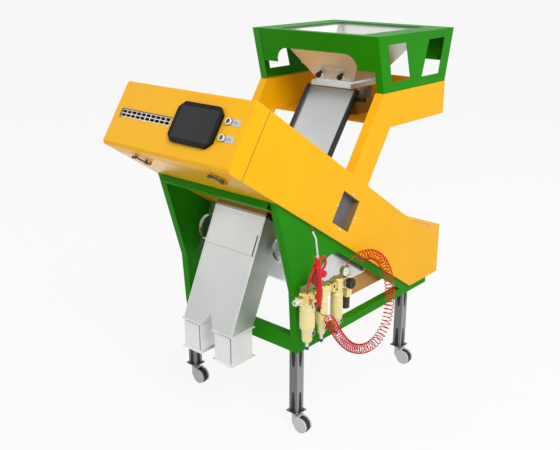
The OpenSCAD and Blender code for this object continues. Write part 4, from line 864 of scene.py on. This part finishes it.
# Dark gaskets in the seams of the front cover and the tail lid
SEAM_S = 87.0
SEAM_HALF, SEAM_OUT = 1.3, 0.4
gaskets = Shape()
for x in (-HALF - 0.15, HALF - 0.25):
    gaskets.slab(-SEAM_HALF, SEAM_HALF, 2, HEAD_T - 2, on_head(x, SEAM_S, 0), HEAD_ALONG, FRONT_DOWN,
                 -SEAM_OUT)
piece("cover_gaskets", gaskets, black_and_shade, "machine")
LID_Y = 1322
lid_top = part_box("rear_cover")[1].z
lid_line = Shape()
lid_line.block(Vector((0, at(0, LID_Y, 0).y, lid_top)), (724, 2.6, 0.5))
piece("tail_lid_line", lid_line, black_and_shade, "rear_cover", bevel=0.1)

# Tan and grey sheets of painted shade on the walls of the recessed filter windows
WIN_S, WIN_T, WIN_LEN, WIN_H = 715.0, 83.0, 140.0, 149.0
WIN_MID_X, WALL_SHADE_W = 352, 34
WALL_SHADE_T, WALL_SHADE_GAP, WALL_SHADE_END = 0.6, 0.4, 1.4
upright = (WALL_SHADE_T, WIN_H - WALL_SHADE_END)
level = (WIN_LEN - WALL_SHADE_END, WALL_SHADE_T)
wall_shades = Shape()
for s in (-1, 1):
    for along, inward, size, mat in (
        (WIN_LEN - WALL_SHADE_GAP, WIN_H / 2, upright, 0),
        (WALL_SHADE_GAP, WIN_H / 2, upright, 0),
        (WIN_LEN / 2, WALL_SHADE_GAP, level, 1),
        (WIN_LEN / 2, WIN_H - WALL_SHADE_GAP, level, 0),
    ):
        centre = on_head(s * WIN_MID_X, WIN_S + along, WIN_T + inward)
        wall_shades.block(centre, (*size, WALL_SHADE_W), HEAD_ALONG, FRONT_DOWN, mat)
piece("window_wall_shades", wall_shades, [wall_shade_brown, filter_grey], "machine")

# Foot-plate screws
LEG_X = 332.5
LEG_Y = (279.5, 1121.0)
PLATE_Z = 100
SCREW_AT = 26
LEG_FEET = [(s * LEG_X, y) for s in (-1, 1) for y in LEG_Y]
screws = Shape()
for x, y in LEG_FEET:
    for dx in (-SCREW_AT, SCREW_AT):
        for dy in (-SCREW_AT, SCREW_AT):
            screws.screw(at(x + dx, y + dy, PLATE_Z), Z, 3.4, 3.4)
piece("foot_screws", screws, bolt, "machine")

# Leg slots: dark sheets of painted shade in them, flush cover strips, and the wider open ends above and below
# them, also painted shade
SLOT_FACE, STRIP_DEEP = 21.2, 17.6
SLOT_LOW, SLOT_HIGH = 102.0, 397.0
SHADE_MID, SHADE_LEN = 249, 296
STRIP_LOW = 180
STRIP = [(-5.3, 0), (5.3, 0), (5.3, 150), (3.2, 158), (-3.2, 158), (-5.3, 150)]
slots = Shape()
for x, y in LEG_FEET:
    for d in (X, -X, Y, -Y):
        across = Z.cross(d)
        slots.block(at(x, y, SHADE_MID) + d * SLOT_FACE * MM, (0.6, 9.8, SHADE_LEN), d, across, 0)
        slots.prism(STRIP, at(x, y, STRIP_LOW) + d * STRIP_DEEP * MM, across, Z, 4.85, 1)
        for z, tip in ((SLOT_HIGH, -73), (SLOT_LOW, 94)):
            tongue = [(-11.6, 0), (11.6, 0), (9.6, tip * 0.5), (5.6, tip), (-5.6, tip), (-9.6, tip * 0.5)]
            slots.prism(tongue, at(x, y, z) + d * SLOT_FACE * MM, across, Z, 1.36, 0)
piece("leg_slot_shade_and_strips", slots, [slot_dark, alu], "machine", bevel=0.2)

# Sloping front of the outlet chute
OUT_SLOPE = 0.4566
OUT_LOW_Y, OUT_LOW_Z = 58, 487
OUT_HALF = 153
out_up = Vector((0, OUT_SLOPE, 1)).normalized()
out_face = Vector((0, -1, OUT_SLOPE)).normalized()


def on_outlet(x, z, out):
    """A point on the front of the outlet: across, at a height and out of it."""
    return at(x, OUT_LOW_Y + (z - OUT_LOW_Z) * OUT_SLOPE, z) + out_face * out * MM


# Outlet hatch, with a grey strip of painted shadow under its lower edge, and the folded edge strips of the
# chute, lighter as a painted highlight
HATCH_HALF, HATCH_LOW, HATCH_TALL = 146, 813, 158
EDGE_IN, EDGE_LEN = 149.4, 534
TOP_EDGE_HALF, TOP_EDGE_Z = 149, 969
hatch = Shape()
hatch.slab(-HATCH_HALF, HATCH_HALF, 0, HATCH_TALL, on_outlet(0, HATCH_LOW, 0.1), X, out_up, 1.2, 0)
for left, right in ((-OUT_HALF, -EDGE_IN), (EDGE_IN, OUT_HALF)):
    hatch.slab(left, right, 0, EDGE_LEN, on_outlet(0, OUT_LOW_Z + 1, 0.05), X, out_up, 1.6, 1)
hatch.slab(-HATCH_HALF, HATCH_HALF, -1.3, 0, on_outlet(0, HATCH_LOW, 0.05), X, out_up, 0.6, 2)
hatch.slab(-TOP_EDGE_HALF, TOP_EDGE_HALF, 0, 3.6, on_outlet(0, TOP_EDGE_Z, 0.05), X, out_up, 1.6, 1)
piece("outlet_hatch", hatch, [steel, bright_steel, legend_ink_and_shade], "machine", bevel=0.5)

# Side plates of the outlet and the collar strips over it: a steel strip, and above it a brown strip of
# painted shade
CHEEK = [(OUT_LOW_Y, 487.5), (190, 487.5), (380.5, 905), (280, 972)]
CHEEK_T = 0.8
COLLAR_HALF = 150
COLLAR_UP = Vector((0, 0.55, 0.83))
cheeks = Shape()
for x in (-OUT_HALF - CHEEK_T, OUT_HALF):
    cheeks.prism(CHEEK, at(x, 0, 0), Y, Z, CHEEK_T, 0)
for low, high, mat in ((0, 9, 1), (9, 30, 2)):
    cheeks.slab(-COLLAR_HALF, COLLAR_HALF, low, high, at(0, 282, 973), X, COLLAR_UP, 1.2, mat)
piece("outlet_cheeks", cheeks, [satin, steel, lip_shade_brown], "machine")

# Bright rims of the dust ports
PORT_X, PORT_Y, PORT_Z = 232, 343.4, 823
rims = Shape()
for s in (-1, 1):
    rims.revolve([(57, 38), (60.5, 38), (61.5, 40), (61.5, 46), (60.2, 47.4), (58, 47.4), (57, 46), (57, 38)],
                 at(s * PORT_X, PORT_Y, PORT_Z), out_face, 64)
piece("dust_port_rims", rims, chrome, "machine")

# Pull slot of the hatch, drawn as a dark strip of painted shade
PULL_X, PULL_LEN = 138, 94
pull = Shape()
pull.slab(-3, 3, 0, PULL_LEN, on_outlet(PULL_X, HATCH_LOW - 1, 1.2), X, out_up, 1.2)
piece("outlet_pull", pull, dark_steel, "machine", bevel=0.5)

# Doors of the outlet boxes, with dark strips of painted shade in the gaps along their right and top edges
BOX_X, DOOR_Z = 97.5, 414
DOOR_Y, SHADOW_Y = 57.4, 57.2
doors = Shape()
for s in (-1, 1):
    x = s * BOX_X
    doors.block(at(x - 3, DOOR_Y, DOOR_Z), (92, 1.2, 122), mat=0)
    doors.block(at(x + 47, SHADOW_Y, DOOR_Z), (2.2, 1.4, 124), mat=1)
    doors.block(at(x + 6, SHADOW_Y, DOOR_Z + 63), (80, 1.4, 2.0), mat=1)
piece("outlet_doors", doors, [bright_steel, dark_steel], "machine", bevel=0.3)

# Lighter green sheet on the left front post of the hopper, on its leaning front plate: a painted highlight
POST_LEFT, POST_RIGHT, POST_LEN = -367, -326, 256
POST_UP = Vector((0, -60, 251)).normalized()
post = Shape()
post.slab(POST_LEFT, POST_RIGHT, 0, POST_LEN, at(0, 824.5, 1462), X, POST_UP, 1.0)
piece("hopper_post_highlight", post, green_post_highlight, "machine", bevel=0.4)

# Ribs of the chute rails
RAIL_X, RAIL_TOP_Y, RAIL_TOP_Z = 150.3, 936, 1438
RAIL_SLOPE = math.radians(54)
RAIL_RIBS = 34
FIRST_RIB, RIB_STEP, RIB_OUT = 20, 8.5, 6
rail_down = Vector((0, -math.cos(RAIL_SLOPE), -math.sin(RAIL_SLOPE)))
rail_out = Vector((0, -math.sin(RAIL_SLOPE), math.cos(RAIL_SLOPE)))
ribs = Shape()
for s in (-1, 1):
    for k in range(RAIL_RIBS):
        shift = rail_down * (FIRST_RIB + RIB_STEP * k) + rail_out * RIB_OUT
        ribs.block(at(s * RAIL_X, RAIL_TOP_Y, RAIL_TOP_Z) + shift * MM, (1.4, 3.6, 16), X, rail_down)
piece("rail_ribs", ribs, black_and_shade, "machine", bevel=0.3)

# Floor, white surround and lamps
FLOOR_HALF = 60
FLOOR_DROP = 0.0005
FLOOR_GLOW = 0.88
SURROUND_LIGHT = 0.5
WHITE = (1, 1, 1, 1)
LAMP_TARGET = Vector((0, 0, 0.9))


def seen_straight(tree):
    """1 for rays from the camera, or by way of metal or glass, and else 0."""
    path = add(tree, "ShaderNodeLightPath")
    seen = path.outputs["Is Camera Ray"]
    for kind in ("Is Glossy Ray", "Is Transmission Ray"):
        seen = add(tree, "ShaderNodeMath", {0: seen, 1: path.outputs[kind]}, operation="MAXIMUM").outputs[0]
    return seen


def floor_finish():
    """Pale floor that glows a little for the camera and keeps the object's shadow."""
    mat = bpy.data.materials.new("floor_pale")
    mat.use_nodes = True
    tree = mat.node_tree
    bsdf = tree.nodes["Principled BSDF"]
    place = add(tree, "ShaderNodeTexCoord").outputs["Object"]
    clouds = add(tree, "ShaderNodeTexNoise", {"Vector": place, "Scale": 1.5}).outputs["Fac"]
    pale = mix(tree, clouds, (0.86, 0.86, 0.86, 1), (0.9, 0.9, 0.9, 1))
    tree.links.new(pale, bsdf.inputs["Base Color"])
    bsdf.inputs["Roughness"].default_value = 0.9
    bsdf.inputs["Specular IOR Level"].default_value = 0.0
    glow = add(tree, "ShaderNodeEmission", {"Color": WHITE, "Strength": 1.0})
    share = add(tree, "ShaderNodeMath", {0: seen_straight(tree), 1: FLOOR_GLOW}, operation="MULTIPLY")
    both = add(tree, "ShaderNodeMixShader", {0: share.outputs[0], 1: bsdf.outputs[0], 2: glow.outputs[0]})
    tree.links.new(both.outputs[0], tree.nodes["Material Output"].inputs["Surface"])
    return mat


def make_floor():
    grid = bmesh.new()
    bmesh.ops.create_grid(grid, x_segments=8, y_segments=8, size=FLOOR_HALF)
    mesh = bpy.data.meshes.new("floor")
    grid.to_mesh(mesh)
    grid.free()
    mesh.materials.append(floor_finish())
    floor = bpy.data.objects.new("floor", mesh)
    floor.location = (0, 0, -FLOOR_DROP)
    scene.collection.objects.link(floor)
    return floor


def make_surround():
    """Soft light from all sides, seen as plain white."""
    world = bpy.data.worlds.new("studio")
    world.use_nodes = True
    tree = world.node_tree
    tree.nodes.clear()
    soft = add(tree, "ShaderNodeBackground", {"Color": WHITE, "Strength": SURROUND_LIGHT})
    white = add(tree, "ShaderNodeBackground", {"Color": WHITE, "Strength": 1.0})
    both = add(tree, "ShaderNodeMixShader", {0: seen_straight(tree), 1: soft.outputs[0], 2: white.outputs[0]})
    add(tree, "ShaderNodeOutputWorld", {"Surface": both.outputs[0]})
    return world


def add_lamp(name, place, size, power):
    """A round area lamp that looks at the middle of the machine."""
    data = bpy.data.lights.new(name, "AREA")
    data.shape = "DISK"
    data.size = size
    data.energy = power
    obj = bpy.data.objects.new(name, data)
    obj.location = place
    obj.rotation_mode = "QUATERNION"
    obj.rotation_quaternion = (LAMP_TARGET - Vector(place)).to_track_quat("-Z", "Y")
    scene.collection.objects.link(obj)


make_floor()
scene.world = make_surround()
add_lamp("key", (3.8, -2.0, 4.5), 2.6, 155)
add_lamp("left", (-3.6, -2.6, 3.0), 3.0, 30)
add_lamp("rear", (1.5, 4.0, 3.6), 3.0, 45)
